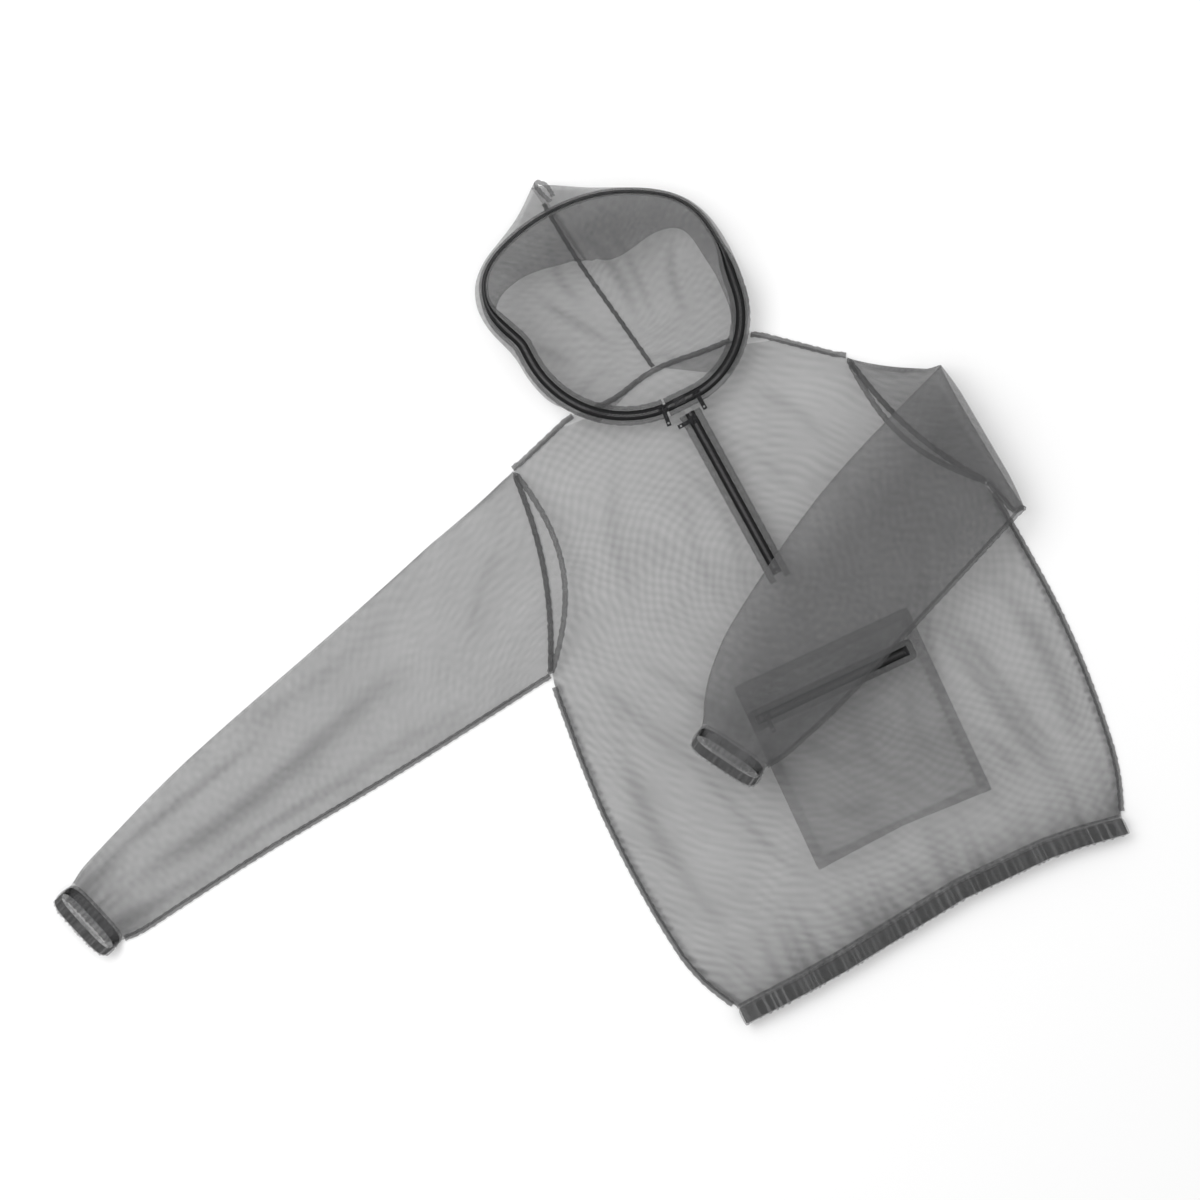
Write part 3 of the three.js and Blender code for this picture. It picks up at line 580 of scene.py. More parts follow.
def cover_group() -> bpy.types.NodeTree:
    """How much a sheet of net hides. Gives Alpha, and Height for its threads.

    Cover is one flat layer's share. Ripple is the strength of the watered pattern of net over net,
    Threads that of the weave, and Density says how much more net lies there.
    """

    def fill(w: Wiring, given: bpy.types.NodeOutputs) -> dict[str, object]:
        place = given["Place"]
        drift = w.node("ShaderNodeTexNoise", {"Vector": place, "Scale": 9.0, "Detail": 2.0}).outputs["Fac"]
        rings = w.node("ShaderNodeTexWave", {
            "Vector": place, "Scale": 34.0, "Distortion": 9.0, "Detail": 2.0, "Detail Scale": 0.35,
        }, wave_type="RINGS", rings_direction="SPHERICAL").outputs["Fac"]
        bands = w.node("ShaderNodeTexWave", {
            "Vector": place, "Scale": 42.0, "Distortion": 12.0, "Detail": 1.0, "Detail Scale": 0.3,
        }, bands_direction="DIAGONAL").outputs["Fac"]
        watered = w.maths("SUBTRACT", w.maths("MULTIPLY", w.maths("ADD", rings, bands), drift), 0.5)
        threads = w.node("ShaderNodeGroup", {"Place": place, "Pitch": given["Pitch"]},
                         node_tree=thread_group()).outputs["Threads"]
        weave = w.maths("SUBTRACT", threads, 0.62)
        uneven = w.maths("ADD", w.maths("MULTIPLY", watered, given["Ripple"]),
                         w.maths("MULTIPLY", weave, given["Threads"]))
        cloudy = w.node("ShaderNodeTexNoise", {"Vector": place, "Scale": 22.0, "Detail": 3.0}).outputs["Fac"]
        blotched = w.maths("MULTIPLY", w.maths("SUBTRACT", cloudy, 0.5), given["Cloud"])
        share = w.maths("MULTIPLY", given["Cover"], w.maths("ADD", w.maths("ADD", uneven, blotched), 1.0))
        through = w.maths("SUBTRACT", 1.0, w.maths("MINIMUM", share, 0.97))
        layers = w.maths("ADD", given["Density"], 1.0)
        return {
            "Alpha": w.maths("SUBTRACT", 1.0, w.maths("POWER", through, layers)),
            "Height": threads,
        }

    takes = {"Place": (0.0, 0.0, 0.0), "Cover": 0.25, "Ripple": 0.3, "Threads": 0.3, "Pitch": 0.0012,
             "Cloud": 0.2, "Density": 0.0}
    return group("net_cover", takes, ["Alpha", "Height"], fill)


def grain_group() -> bpy.types.NodeTree:
    """Fine cross ribs and specks. Gives Shade, from 0 to 1, and Height."""

    def fill(w: Wiring, given: bpy.types.NodeOutputs) -> dict[str, object]:
        parts = w.node("ShaderNodeSeparateXYZ", {0: given["Place"]}).outputs
        ribs = w.maths("MULTIPLY", w.maths("PINGPONG", w.maths("DIVIDE", parts[0], given["Pitch"]), 0.5), 2.0)
        turns = w.maths("DIVIDE", parts[1], given["Pitch"])
        cross = w.maths("MULTIPLY", w.maths("PINGPONG", turns, 0.5), 2.0)
        specks = w.node("ShaderNodeTexNoise", {"Vector": given["Place"], "Scale": 900.0}).outputs["Fac"]
        woven = w.maths("MULTIPLY", w.maths("ADD", ribs, cross), 0.5)
        shade = w.maths("ADD", w.maths("MULTIPLY", woven, 0.6), w.maths("MULTIPLY", specks, 0.4))
        return {"Shade": shade, "Height": shade}

    return group("grain", {"Place": (0.0, 0.0, 0.0), "Pitch": 0.0009}, ["Shade", "Height"], fill)


@dataclass(frozen=True)
class Finish:
    """What every finish has: a name, the record's slot and a material made once."""

    name: str
    slot: str

    def material(self) -> bpy.types.Material:
        """The finish's material."""
        made = bpy.data.materials.get(self.name)
        if made is None:
            made = bpy.data.materials.new(self.name)
            made.use_nodes = True
            made.node_tree.nodes.clear()
            wiring = Wiring(made.node_tree)
            shader = self.shade(wiring)
            wiring.node("ShaderNodeOutputMaterial", {"Surface": shader.outputs[0]})
        return made

    def shade(self, w: Wiring) -> bpy.types.Node:
        """Wires the finish's Principled node and returns it."""
        raise NotImplementedError


@dataclass(frozen=True)
class Net(Finish):
    """Sheer polyester net.

    Attributes:
        colour: Its threads' colour.
        cover: The share that one flat layer hides.
        ripple: Strength of its watered pattern.
        threads: Strength of its weave.
        cloud: Strength of its soft blotches.
        pitch: From thread to thread.
    """

    colour: tuple[float, float, float] = (0.075, 0.075, 0.077)
    cover: float = 0.24
    ripple: float = 0.2
    threads: float = 0.35
    cloud: float = 0.25
    pitch: float = 0.0011

    def shade(self, w: Wiring) -> bpy.types.Node:
        """Matt threads, with holes between them."""
        place = w.node("ShaderNodeUVMap", uv_map=FLAT_MAP).outputs[0]
        density = w.node("ShaderNodeAttribute", attribute_name=DENSITY).outputs["Fac"]
        net = w.node("ShaderNodeGroup", {
            "Place": place, "Cover": self.cover, "Ripple": self.ripple, "Threads": self.threads,
            "Pitch": self.pitch, "Cloud": self.cloud, "Density": density,
        }, node_tree=cover_group()).outputs
        bump = w.node("ShaderNodeBump", {"Strength": 0.25, "Distance": 0.0003, "Height": net["Height"]})
        return w.node("ShaderNodeBsdfPrincipled", {
            "Base Color": (*self.colour, 1), "Roughness": 0.72, "Specular IOR Level": 0.3,
            "Sheen Weight": 0.08, "Alpha": net["Alpha"], "Normal": bump.outputs[0],
        })


@dataclass(frozen=True)
class Woven(Finish):
    """Close-woven tape or elastic, ribbed across.

    Attributes:
        dark: Colour between its ribs.
        light: Colour on them.
        pitch: From rib to rib.
        rough: Its roughness.
    """

    dark: tuple[float, float, float] = (0.003, 0.003, 0.0033)
    light: tuple[float, float, float] = (0.009, 0.009, 0.0095)
    pitch: float = 0.0009
    rough: float = 0.8

    def shade(self, w: Wiring) -> bpy.types.Node:
        """Ribs as colour and bump."""
        place = w.node("ShaderNodeTexCoord").outputs["Object"]
        grain = w.node("ShaderNodeGroup", {"Place": place, "Pitch": self.pitch}, node_tree=grain_group()).outputs
        colour = w.node("ShaderNodeMix", {
            "Factor": grain["Shade"], "A": (*self.dark, 1), "B": (*self.light, 1)}, data_type="RGBA")
        colour_out = next(o for o in colour.outputs if o.type == "RGBA")
        bump = w.node("ShaderNodeBump", {"Strength": 0.5, "Distance": 0.0003, "Height": grain["Height"]})
        return w.node("ShaderNodeBsdfPrincipled", {
            "Base Color": colour_out, "Roughness": self.rough, "Specular IOR Level": 0.3,
            "Normal": bump.outputs[0],
        })


@dataclass(frozen=True)
class Satin(Finish):
    """Nylon or lacquered metal, with fine scuffs.

    Attributes:
        dark: Its colour.
        worn: Its colour where it is scuffed.
        metal: 1 for metal, 0 for plastic.
        smooth: Roughness where it is smooth.
        dull: Roughness where it is scuffed.
        wear: How much of it is scuffed.
    """

    dark: tuple[float, float, float] = (0.008, 0.008, 0.009)
    worn: tuple[float, float, float] = (0.03, 0.03, 0.032)
    metal: float = 0.0
    smooth: float = 0.3
    dull: float = 0.5
    wear: float = 0.45

    def shade(self, w: Wiring) -> bpy.types.Node:
        """Scuffs as colour, roughness and bump."""
        place = w.node("ShaderNodeTexCoord").outputs["Object"]
        scuff = w.node("ShaderNodeTexNoise", {"Vector": place, "Scale": 700.0, "Detail": 4.0}).outputs["Fac"]
        edge = w.node("ShaderNodeMapRange", {
            "Value": scuff, "From Min": 1 - self.wear, "From Max": 1.2 - self.wear}).outputs[0]
        colour = w.node("ShaderNodeMix", {
            "Factor": edge, "A": (*self.dark, 1), "B": (*self.worn, 1)}, data_type="RGBA")
        colour_out = next(o for o in colour.outputs if o.type == "RGBA")
        rough = w.node("ShaderNodeMapRange", {
            "Value": scuff, "From Min": 0.3, "From Max": 0.7, "To Min": self.smooth, "To Max": self.dull})
        bump = w.node("ShaderNodeBump", {"Strength": 0.15, "Distance": 0.0002, "Height": scuff})
        return w.node("ShaderNodeBsdfPrincipled", {
            "Base Color": colour_out, "Metallic": self.metal, "Roughness": rough.outputs[0],
            "Normal": bump.outputs[0],
        })


BODY_NET = Net("body_net", "net")
HOOD_NET = Net("hood_net", "net", cover=0.26, ripple=0.2, cloud=0.35)
SLEEVE_NET = Net("sleeve_net", "net", cover=0.25, ripple=0.17, cloud=0.35)
FOLDED_NET = Net("folded_sleeve_net", "net", colour=(0.11, 0.11, 0.112), cover=0.34, ripple=0.2, cloud=0.5)
POUCH_NET = Net("pouch_net", "net", cover=0.28, ripple=0.12, cloud=0.4)
BINDING_NET = Net("doubled_binding_net", "binding", colour=(0.07, 0.07, 0.071), cover=0.31, ripple=0.1,
                  cloud=0.5)
# The gathered casing's net is coloured much lighter than the body's net as a painted highlight: where the casing
# is denser, on its pleats' ridges, it shows lighter over the dark elastic, as if the ridges caught the light.
CASING_NET_PAINTED_HIGHLIGHT = Net("gathered_net_painted_highlight", "gathered_casing", colour=(0.2, 0.2, 0.202), cover=0.28, ripple=0.1,
                 cloud=0.6)
ELASTIC = Woven("ribbed_elastic", "elastic", dark=(0.008, 0.008, 0.008),
                light=(0.02, 0.02, 0.0202), pitch=0.0014)
ZIP_TAPE = Woven("black_zip_tape", "zip_tape")
ZIP_COIL = Satin("black_nylon_coil", "zip_coil")
BLACK_METAL = Satin("black_lacquered_metal", "black_metal", dark=(0.012, 0.012, 0.013),
                    worn=(0.09, 0.09, 0.095), metal=0.6, smooth=0.24, dull=0.42)


def place_piece(piece: bpy.types.Object, body: Body, finish: Finish, *nodes: str) -> bpy.types.Object:
    """Lets a piece ride on its body, for the CAD nodes that it stands for.

    Args:
        piece: The piece.
        body: The body that it moves with.
        finish: Its finish, which is reported.
        nodes: The CAD nodes that it replaces.

    Returns:
        The piece.
    """
    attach(piece, body.value)
    return record_piece(piece, finish, *nodes)


def record_piece(piece: bpy.types.Object, finish: Finish, *nodes: str) -> bpy.types.Object:
    """Hides the CAD nodes that a piece stands for, and reports the piece and its finish."""
    if nodes:
        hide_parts(*nodes)
    LOG.info("%s: %d faces, %s", piece.name, len(piece.data.polygons), finish.name)
    return piece


# ---------------------------------------------------------------- strips and stitches


@dataclass(frozen=True)
class Strip:
    """A narrow folded strip of doubled net, such as a binding or a seam allowance.

    Attributes:
        width: Its width.
        thick: Its thickness at the fold.
        pucker: How far its stitched middle is drawn in and its edges wander.
        step: From one ring of its points to the next.
    """

    width: float = 0.006
    thick: float = 0.0009
    pucker: float = 0.0003
    step: float = 0.0025

    def cloth(self, line: Array, normals: Array | None = None, closed: bool = False) -> Cloth:
        """Lays the strip along a line.

        Args:
            line: The line of its middle, in space.
            normals: Which way its face looks at each of the line's points, or None for up.
            closed: True if the line's last point joins its first.

        Returns:
            The strip's cloth, a flattened tube.
        """
        if closed:
            line = np.vstack([line, line[:1]])
        both = line if normals is None else np.column_stack([line, normals])
        both = even_line(both, self.step)
        middle = both[:, :3]
        up = np.tile([0.0, 0, 1], (len(middle), 1)) if normals is None else both[:, 3:]
        ahead = np.gradient(middle, axis=0)
        if closed:
            middle, up = middle[:-1], up[:-1]
            ahead = np.roll(middle, -1, 0) - np.roll(middle, 1, 0)
        side = np.cross(ahead, up)
        side /= np.maximum(np.linalg.norm(side, axis=1, keepdims=True), 1e-12)
        rise = np.cross(side, ahead)
        rise /= np.maximum(np.linalg.norm(rise, axis=1, keepdims=True), 1e-12)
        at = np.arange(len(middle)) * self.step
        wander = self.pucker * (np.sin(at * 900) + np.sin(at * 530 + 2))
        wide, high = self.width / 2, self.thick / 2
        profile = [(-1, 0), (-0.85, 1), (-0.3, 0.85), (0.3, 0.85), (0.85, 1),
                   (1, 0), (0.85, -1), (0.3, -0.85), (-0.3, -0.85), (-0.85, -1)]
        rows = np.stack([
            middle + side * (wide * x + wander * abs(x))[:, None] + rise * (high * y)
            for x, y in profile], axis=1)
        flat = np.stack([np.column_stack([at, np.full(len(at), wide * x + (0 if y >= 0 else 0.1))])
                         for x, y in profile], axis=1)
        if closed:
            rows, flat = np.vstack([rows, rows[:1]]), np.vstack([flat, flat[:1]])
        made = grid_cloth(rows, flat, closed=True)
        if closed:
            made = welded(made, len(profile))
        return made


def welded(cloth: Cloth, columns: int) -> Cloth:
    """Joins a grid's last row to its first."""
    last = len(cloth.points) - columns
    faces = [tuple(i % last for i in f) for f in cloth.faces]
    return Cloth(cloth.points[:last], faces, cloth.flat[:last], cloth.density[:last])


@dataclass(frozen=True)
class Stitching:
    """A row of machine stitches.

    Attributes:
        pitch: From stitch to stitch.
        length: Of the thread that shows.
        thick: Of the thread.
    """

    pitch: float = 0.003
    length: float = 0.0022
    thick: float = 0.00035

    def cloth(self, line: Array) -> Cloth:
        """Each stitch along a line, a short thread that dips at both ends."""
        middle = even_line(line, self.pitch)
        ahead = np.gradient(middle, axis=0)
        ahead /= np.maximum(np.linalg.norm(ahead, axis=1, keepdims=True), 1e-12)
        side = np.cross(ahead, [0.0, 0, 1])
        half, r = self.length / 2, self.thick / 2
        rings = [(-half, -r, 0.5), (-half / 2, r, 1), (half / 2, r, 1), (half, -r, 0.5)]
        turns = [(1, 0), (0, 1), (-1, 0), (0, -1)]
        points, faces = [], []
        for p, a, s in zip(middle, ahead, side):
            first = len(points)
            for along, lift, size in rings:
                for x, y in turns:
                    points.append(p + a * along + s * x * r * size + np.array([0, 0, lift + y * r * size]))
            for k in range(len(rings) - 1):
                for i in range(4):
                    faces.append((first + 4 * k + i, first + 4 * k + (i + 1) % 4,
                                  first + 4 * k + 4 + (i + 1) % 4, first + 4 * k + 4 + i))
            faces.append((first + 3, first + 2, first + 1, first))
            faces.append(tuple(first + 4 * (len(rings) - 1) + i for i in range(4)))
        made = np.array(points)
        return Cloth(made, faces, made[:, :2].copy())


# ---------------------------------------------------------------- gathers


@dataclass(frozen=True)
class Gathers:
    """Pleats drawn up by an elastic, at uneven places along it.

    Attributes:
        spacing: Usual distance from pleat to pleat.
        width: Of a pleat's ridge.
        seed: Which uneven places.
    """

    spacing: float = 0.010
    width: float = 0.0026
    seed: int = SEED

    def ridge(self, along: Array) -> Array:
        """How high the pleats stand, from 0 to 1, at places along the elastic."""
        along = np.asarray(along, float)
        draws = np.random.default_rng(self.seed)
        out = np.zeros_like(along)
        at = along.min() - self.spacing
        while at < along.max() + self.spacing:
            size, wide = draws.uniform(0.35, 1), self.width * draws.uniform(0.7, 1.5)
            out = np.maximum(out, size * np.exp(-(((along - at) / wide) ** 2)))
            at += self.spacing * draws.uniform(0.55, 1.45)
        return out


def gather(cloth: Cloth, edge: Array, gathers: Gathers, height: float, reach: float,
           chosen: Array | None = None, sign: float = 1) -> None:
    """Carries an elastic's pleats up into the cloth that it gathers.

    Args:
        cloth: The sheet.
        edge: The gathered edge's flat line.
        gathers: Its pleats.
        height: How high they stand at the edge.
        reach: How far up the cloth they fade out.
        chosen: The points that may move, or None for all.
        sign: 1 where they stand up, -1 where they hang down.
    """
    away, share = nearest_on(edge, cloth.points[:, :2])
    along = share * run_along(edge)[-1]
    fan = away * 0.12
    ridge = gathers.ridge(along + fan * np.sin(along * 60))
    fade = np.exp(-((away / reach) ** 1.4))
    if chosen is not None:
        fade = fade * chosen
    cloth.points[:, 2] += sign * height * ridge * fade
    cloth.density += fade * (0.25 + 0.7 * ridge)


# ---------------------------------------------------------------- torso


@dataclass
class Torso:
    """The front and back panels with the seams that join them.

    Attributes:
        spacing: From point to point of its net.
        seam_reach: How far each panel runs past its CAD outline, into its seams.
        wave: Height of the shallow waves in the front.
        wave_length: Their length.
        edge_band: Width of the seam allowances that lie inside the sides.
        right_bow: How far the right armhole's front and back seams bow into the body.
        left_bow: The same for the left armhole.
        hem_height: How high the hem's pleats stand in the front.
        hem_band: Width of the hem's casing.
        overrun: How far the shoulder seams run past their CAD strips.
        hem_reach: How far up they run.
        seam: The strips that its seams show as.
    """

    spacing: float = 0.0055
    seam_reach: float = 0.0022
    wave: float = 0.0014
    wave_length: float = 0.13
    edge_band: float = 0.007
    right_bow: tuple[float, float] = (0.035, 0.014)
    left_bow: tuple[float, float] = (0.027, 0.013)
    hem_height: float = 0.004
    hem_band: float = 0.022
    overrun: float = 0.006
    hem_reach: float = 0.045
    seam: Strip = Strip(width=0.0062, thick=0.0011)
    gathers: Gathers = Gathers(spacing=0.019, width=0.0045)
    front_folds: tuple[Crease, ...] = (
        Crease(((0.135, -0.10), (0.168, -0.25), (0.200, -0.385)), 0.006, 0.008, 0.5),
        Crease(((0.152, -0.10), (0.182, -0.24), (0.205, -0.33)), 0.004, 0.006, 0.4),
        Crease(((0.118, -0.23), (0.138, -0.26), (0.160, -0.33)), 0.004, 0.006, 0.35),
        Crease(((0.215, -0.09), (0.232, -0.20), (0.222, -0.34)), 0.005, 0.009, 0.4),
        Crease(((-0.185, -0.08), (-0.150, -0.20), (-0.115, -0.30), (-0.060, -0.36)), 0.003, 0.005, 0.25),
        Crease(((-0.225, -0.06), (-0.235, -0.20), (-0.205, -0.36)), 0.004, 0.008, 0.3),
        Crease(((-0.235, 0.00), (-0.190, -0.10), (-0.165, -0.17)), 0.003, 0.007, 0.2),
        Crease(((-0.095, 0.20), (-0.140, 0.12), (-0.150, 0.03)), 0.003, 0.008, 0.2),
        Crease(((0.060, 0.205), (0.100, 0.150), (0.118, 0.090)), 0.003, 0.007, 0.25),
        Crease(((-0.040, 0.16), (-0.065, 0.06), (-0.060, -0.04)), 0.002, 0.006, 0.15),
        Crease(((0.020, 0.17), (0.050, 0.10), (0.062, 0.05)), 0.002, 0.006, 0.15),
    )
    back_folds: tuple[Crease, ...] = (
        Crease(((-0.20, 0.02), (-0.10, -0.14), (-0.05, -0.30)), 0.002, 0.006, 0.2),
        Crease(((0.18, 0.02), (0.11, -0.20), (0.12, -0.37)), 0.002, 0.006, 0.2),
        Crease(((-0.06, 0.20), (-0.02, 0.08), (-0.05, -0.06)), 0.002, 0.005, 0.15),
    )

    def armholes(self) -> dict[str, tuple[Array, Array]]:
        """Each armhole's shoulder and armpit, on the flat."""
        return {side: Solid(f"{side}_armhole_binding").ends() for side in ("right", "left")}

    def bowed(self, places: Array, layer: int) -> Array:
        """Flat places moved inwards with the armhole's bow.

        Args:
            places: Flat places near the armhole's straight line.
            layer: 0 for the front, 1 for the back.

        Returns:
            The places again.
        """
        out = places.copy()
        near = 0.014
        for (shoulder, armpit), bows, sign in zip(self.armholes().values(), (self.right_bow, self.left_bow),
                                                  (1, -1)):
            away, share = nearest_on(np.array([shoulder, armpit]), places)
            inwards = across(unit(armpit - shoulder)) * sign
            moved = bows[layer] * np.sin(np.pi * np.clip(share, 0, 1)) ** 0.9
            out += np.where(away < near, moved, 0)[:, None] * inwards
        return out

    def panel(self, node: str, layer: int) -> Cloth:
        """One panel's sheet, on the height of its CAD solid."""
        solid = Solid(node)
        outline = grown(solid.outline(), self.seam_reach)
        fine = np.vstack([a + (b - a) * np.arange(4)[:, None] / 4
                          for a, b in zip(outline, np.roll(outline, -1, 0))])
        cloth = cut_cloth(self.bowed(fine, layer), self.spacing)
        cloth.points[:, 2] = solid.height(cloth.points[:, :2]) - HALF_CLOTH
        cloth.settle(14)
        return cloth

    def sides_of(self, cloth: Cloth) -> None:
        """Adds the doubled cloth of the side seams' allowances to a panel."""
        for side in ("right", "left"):
            line = Solid(f"{side}_side_seam").centreline((0, 1), 24)[:, :2]
            away = nearest_on(line, cloth.points[:, :2])[0]
            cloth.density += 0.8 * np.clip((self.edge_band - away) / 0.002 + 0.5, 0, 1)

    def build(self) -> None:
        """Makes the panels and their seams."""
        hem = Solid("hem_casing")
        hem_line = hem.centreline((1, 0), 40)[:, :2]
        hem_line[:, 1] += self.hem_band / 2
        front = self.panel("front_panel", 0)
        front.wave(self.wave, self.wave_length)
        front.fold(self.front_folds)
        gather(front, hem_line, self.gathers, self.hem_height, self.hem_reach)
        self.sides_of(front)
        front.thicken_on_slopes()
        piece = place_piece(front.piece("front_panel_net", BODY_NET.material()), Body.JACKET, BODY_NET,
                            "front_panel")
        self.declare(piece, front, ["back_panel_net"])
        back = self.panel("back_panel", 1)
        back.wave(self.wave * 0.3, self.wave_length, SEED + 1)
        back.points[:, 2] = np.maximum(back.points[:, 2], 0.0004)
        back.fold(self.back_folds)
        gather(back, hem_line, self.gathers, self.hem_height * 0.4, self.hem_reach)
        self.sides_of(back)
        back.thicken_on_slopes()
        piece = place_piece(back.piece("back_panel_net", BODY_NET.material()), Body.JACKET, BODY_NET,
                            "back_panel")
        self.declare(piece, back, [])
        for name, way in (("right_side_seam", (0, 1)), ("left_side_seam", (0, 1)),
                          ("right_shoulder_seam", (1, 0)), ("left_shoulder_seam", (1, 0)),
                          ("back_neck_seam", (1, 0))):
            line = smooth_line(Solid(name).centreline(way, 14), 60)
            if "shoulder" in name:
                line = np.vstack([line[0] + self.overrun * unit(line[0] - line[1]), line,
                                  line[-1] + self.overrun * unit(line[-1] - line[-2])])
            cloth = self.seam.cloth(line)
            cloth.density += 0.3
            place_piece(cloth.piece(f"{name}_strip", BINDING_NET.material()), Body.JACKET, BINDING_NET, name)
        for side, (shoulder, armpit) in self.armholes().items():
            self.armhole(side, shoulder, armpit)

    def armhole(self, side: str, shoulder: Array, armpit: Array) -> None:
        """One armhole's seam: a strip across the front and one across the back, joined at both ends."""
        straight = shoulder + (armpit - shoulder) * np.linspace(0, 1, 50)[:, None]
        both = []
        for layer, node in ((0, "front_panel"), (1, "back_panel")):
            line = self.bowed(straight, layer)
            height = averaged(Solid(node).height(line) - HALF_CLOTH, 6)
            both.append(np.column_stack([line, height + (0.0004 if layer == 0 else 0.0006)]))
        loop = np.vstack([both[0], both[1][::-1][1:-1]])
        cloth = self.seam.cloth(averaged(loop, 2, closed=True), closed=True)
        cloth.density += 0.5
        place_piece(cloth.piece(f"{side}_armhole_seam", BINDING_NET.material()), Body.JACKET, BINDING_NET,
                    f"{side}_armhole_binding")

    def declare(self, piece: bpy.types.Object, cloth: Cloth, rests_on: list[str]) -> None:
        """Does nothing."""


# ---------------------------------------------------------------- sleeves


@dataclass
class Sleeve:
    """A sleeve: one sheet of net sewn into a tube along the underarm.

    Attributes:
        side: right or left.
        layer_points: Points across each of its two layers.
        reach: Its top slopes down to its edges over this distance.
        creases: Folds that stand in its top layer.
        under: Folds in its lower layer.
        bow_reach: How far down the sleeve the armhole's bow fades out.
        edge_cover: How much denser it looks along its folded upper edge.
    """

    side: str
    net: Net
    torso: Torso
    layer_points: int = 30
    spacing: float = 0.0055
    reach: float = 0.046
    bow_reach: float = 0.11
    edge_cover: float = 1.2
    wave: float = 0.0011
    creases: tuple[Crease, ...] = ()
    under: tuple[Crease, ...] = ()
    gathers: Gathers = Gathers(spacing=0.0105, width=0.0026, seed=5)

    def joint(self) -> dict:
        """The record of the line that the sleeve folds about."""
        joints = frame["record"]["behaviour"]["joints"]
        return next(j for j in joints if j["name"] == f"{self.side}_sleeve_fold")

    def stations(self, first: tuple[Array, Array], last: tuple[Array, Array], solids: Sequence[Solid],
                 count: int) -> tuple[Array, Array]:
        """Both edges of the sleeve between two lines across it.

        Args:
            first: The upper and lower end of the line that it starts from.
            last: The same where it stops.
            solids: The CAD solids that it is traced from.
            count: How many lines across it.

        Returns:
            The upper edge and the lower edge, one flat point a row.
        """
        middles = [(a + b) / 2 for a, b in (first, last)]
        ways = [unit(a - b) for a, b in (first, last)]
        upper, lower = np.full((count, 2), np.nan), np.full((count, 2), np.nan)
        for i, t in enumerate(np.linspace(0, 1, count)):
            place = middles[0] + (middles[1] - middles[0]) * t
            way = unit(ways[0] + (ways[1] - ways[0]) * t)
            cuts = [s.section(place, way)[0] for s in solids]
            cuts = [c[np.abs(c) < 0.2] for c in cuts]
            cuts = [c for c in cuts if len(c) > 3]
            if cuts and 0.01 < t < 0.99:
                cut = np.concatenate(cuts)
                upper[i], lower[i] = place + way * cut.max(), place + way * cut.min()
        upper[0], lower[0] = first
        upper[-1], lower[-1] = last
        rows = np.arange(count)
        widths = np.nan_to_num(np.linalg.norm(upper - lower, axis=1))
        later = np.maximum.accumulate(widths[::-1])[::-1]
        for edge in (upper, lower):
            known = ~np.isnan(edge[:, 0]) & (widths > later * 0.985)
            for k in range(2):
                edge[:, k] = np.interp(rows, rows[known], edge[known, k])
        return averaged(upper, 8), averaged(lower, 8)

    def loop(self, upper: Array, lower: Array, rise: float, base: float) -> tuple[Array, Array]:
        """One ring of the tube, from the underarm along the lower layer and back along the top one.

        Args:
            upper: The flat point of its upper edge.
            lower: The flat point of its lower edge.
            rise: How high its top layer stands.
            base: The height that it lies on.

        Returns:
            The ring's points, and how far round the cloth each one is.
        """
        n = self.layer_points
        t = (1 - np.cos(np.pi * np.arange(n + 1) / n)) / 2
        width = np.linalg.norm(upper - lower)
        near = np.minimum(t, 1 - t) * width
        flat = lower + (upper - lower) * t[:, None]
        edge = base + 0.0014
        under = edge + (base + HALF_CLOTH - edge) * pillow(near, 0.006)
        over = edge + rise * pillow(near, self.reach)
        ring = np.vstack([
            np.column_stack([flat, under]),
            np.column_stack([flat[::-1], over[::-1]])[1:],
        ])
        return ring, run_along(ring)

    def rise_of(self, node: str) -> float:
        """How high a CAD node's top stands over its own lowest point."""
        low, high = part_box(node)
        return high.z - low.z - 4 * HALF_CLOTH

    def shape(self, rows: list[Array], arounds: list[Array], alongs: Array) -> Cloth:
        """The rings as one sheet, open along the underarm."""
        flat = np.stack([np.column_stack([a, np.full(len(a), s)]) for a, s in zip(arounds, alongs)])
        return grid_cloth(np.stack(rows), flat)

    def top_layer(self, cloth: Cloth) -> Array:
        """True at each point of the ring's second half, which is sewn to the front panel."""
        wide = 2 * self.layer_points + 1
        column = np.arange(len(cloth.points)) % wide
        return column >= self.layer_points

    def finish_sheet(self, cloth: Cloth, above: Array, cuff_line: Array) -> None:
        """Waves, folds, gathers and densities.

        Args:
            cloth: The sleeve.
            above: True at each point of the layer that lies on top.
            cuff_line: The flat line of the edge that the cuff gathers.
        """
        before = cloth.points[:, 2].copy()
        cloth.fold(self.creases)
        cloth.points[~above, 2] = before[~above]
        dense = cloth.density.copy()
        cloth.density[~above] = 0
        lower = Cloth(cloth.points.copy(), cloth.faces, cloth.flat)
        lower.fold(self.under)
        cloth.points[~above, 2] = lower.points[~above, 2]
        cloth.density[~above] = lower.density[~above]
        cloth.density[above] = dense[above]
        gather(cloth, cuff_line, self.gathers, 0.0035, 0.035, above.astype(float))
        gather(cloth, cuff_line, self.gathers, 0.0008, 0.030, (~above).astype(float))
        cloth.thicken_on_slopes(0.35, 1.2)
        column = np.arange(len(cloth.points)) % (2 * self.layer_points + 1)
        cloth.density += self.edge_cover * np.exp(-((column - self.layer_points) / 1.3) ** 2)

    def declare(self, piece: bpy.types.Object, arounds: list[Array], length: float, cloth: Cloth,
                held: str, rests_on: list[str]) -> None:
        """Does nothing."""

    def underarm(self, cloth: Cloth) -> None:
        """The underarm seam: a strip along the sheet's two sewn edges."""
        wide = 2 * self.layer_points + 1
        line = cloth.points[::wide] + np.array([0, 0, 0.0002])
        strip = self.torso.seam.cloth(averaged(line, 3))
        strip.density += 0.3
        piece = strip.piece(f"{self.side}_underarm_seam_strip", BINDING_NET.material())
        self.bend(piece)
        record_piece(piece, BINDING_NET, f"{self.side}_underarm_seam")

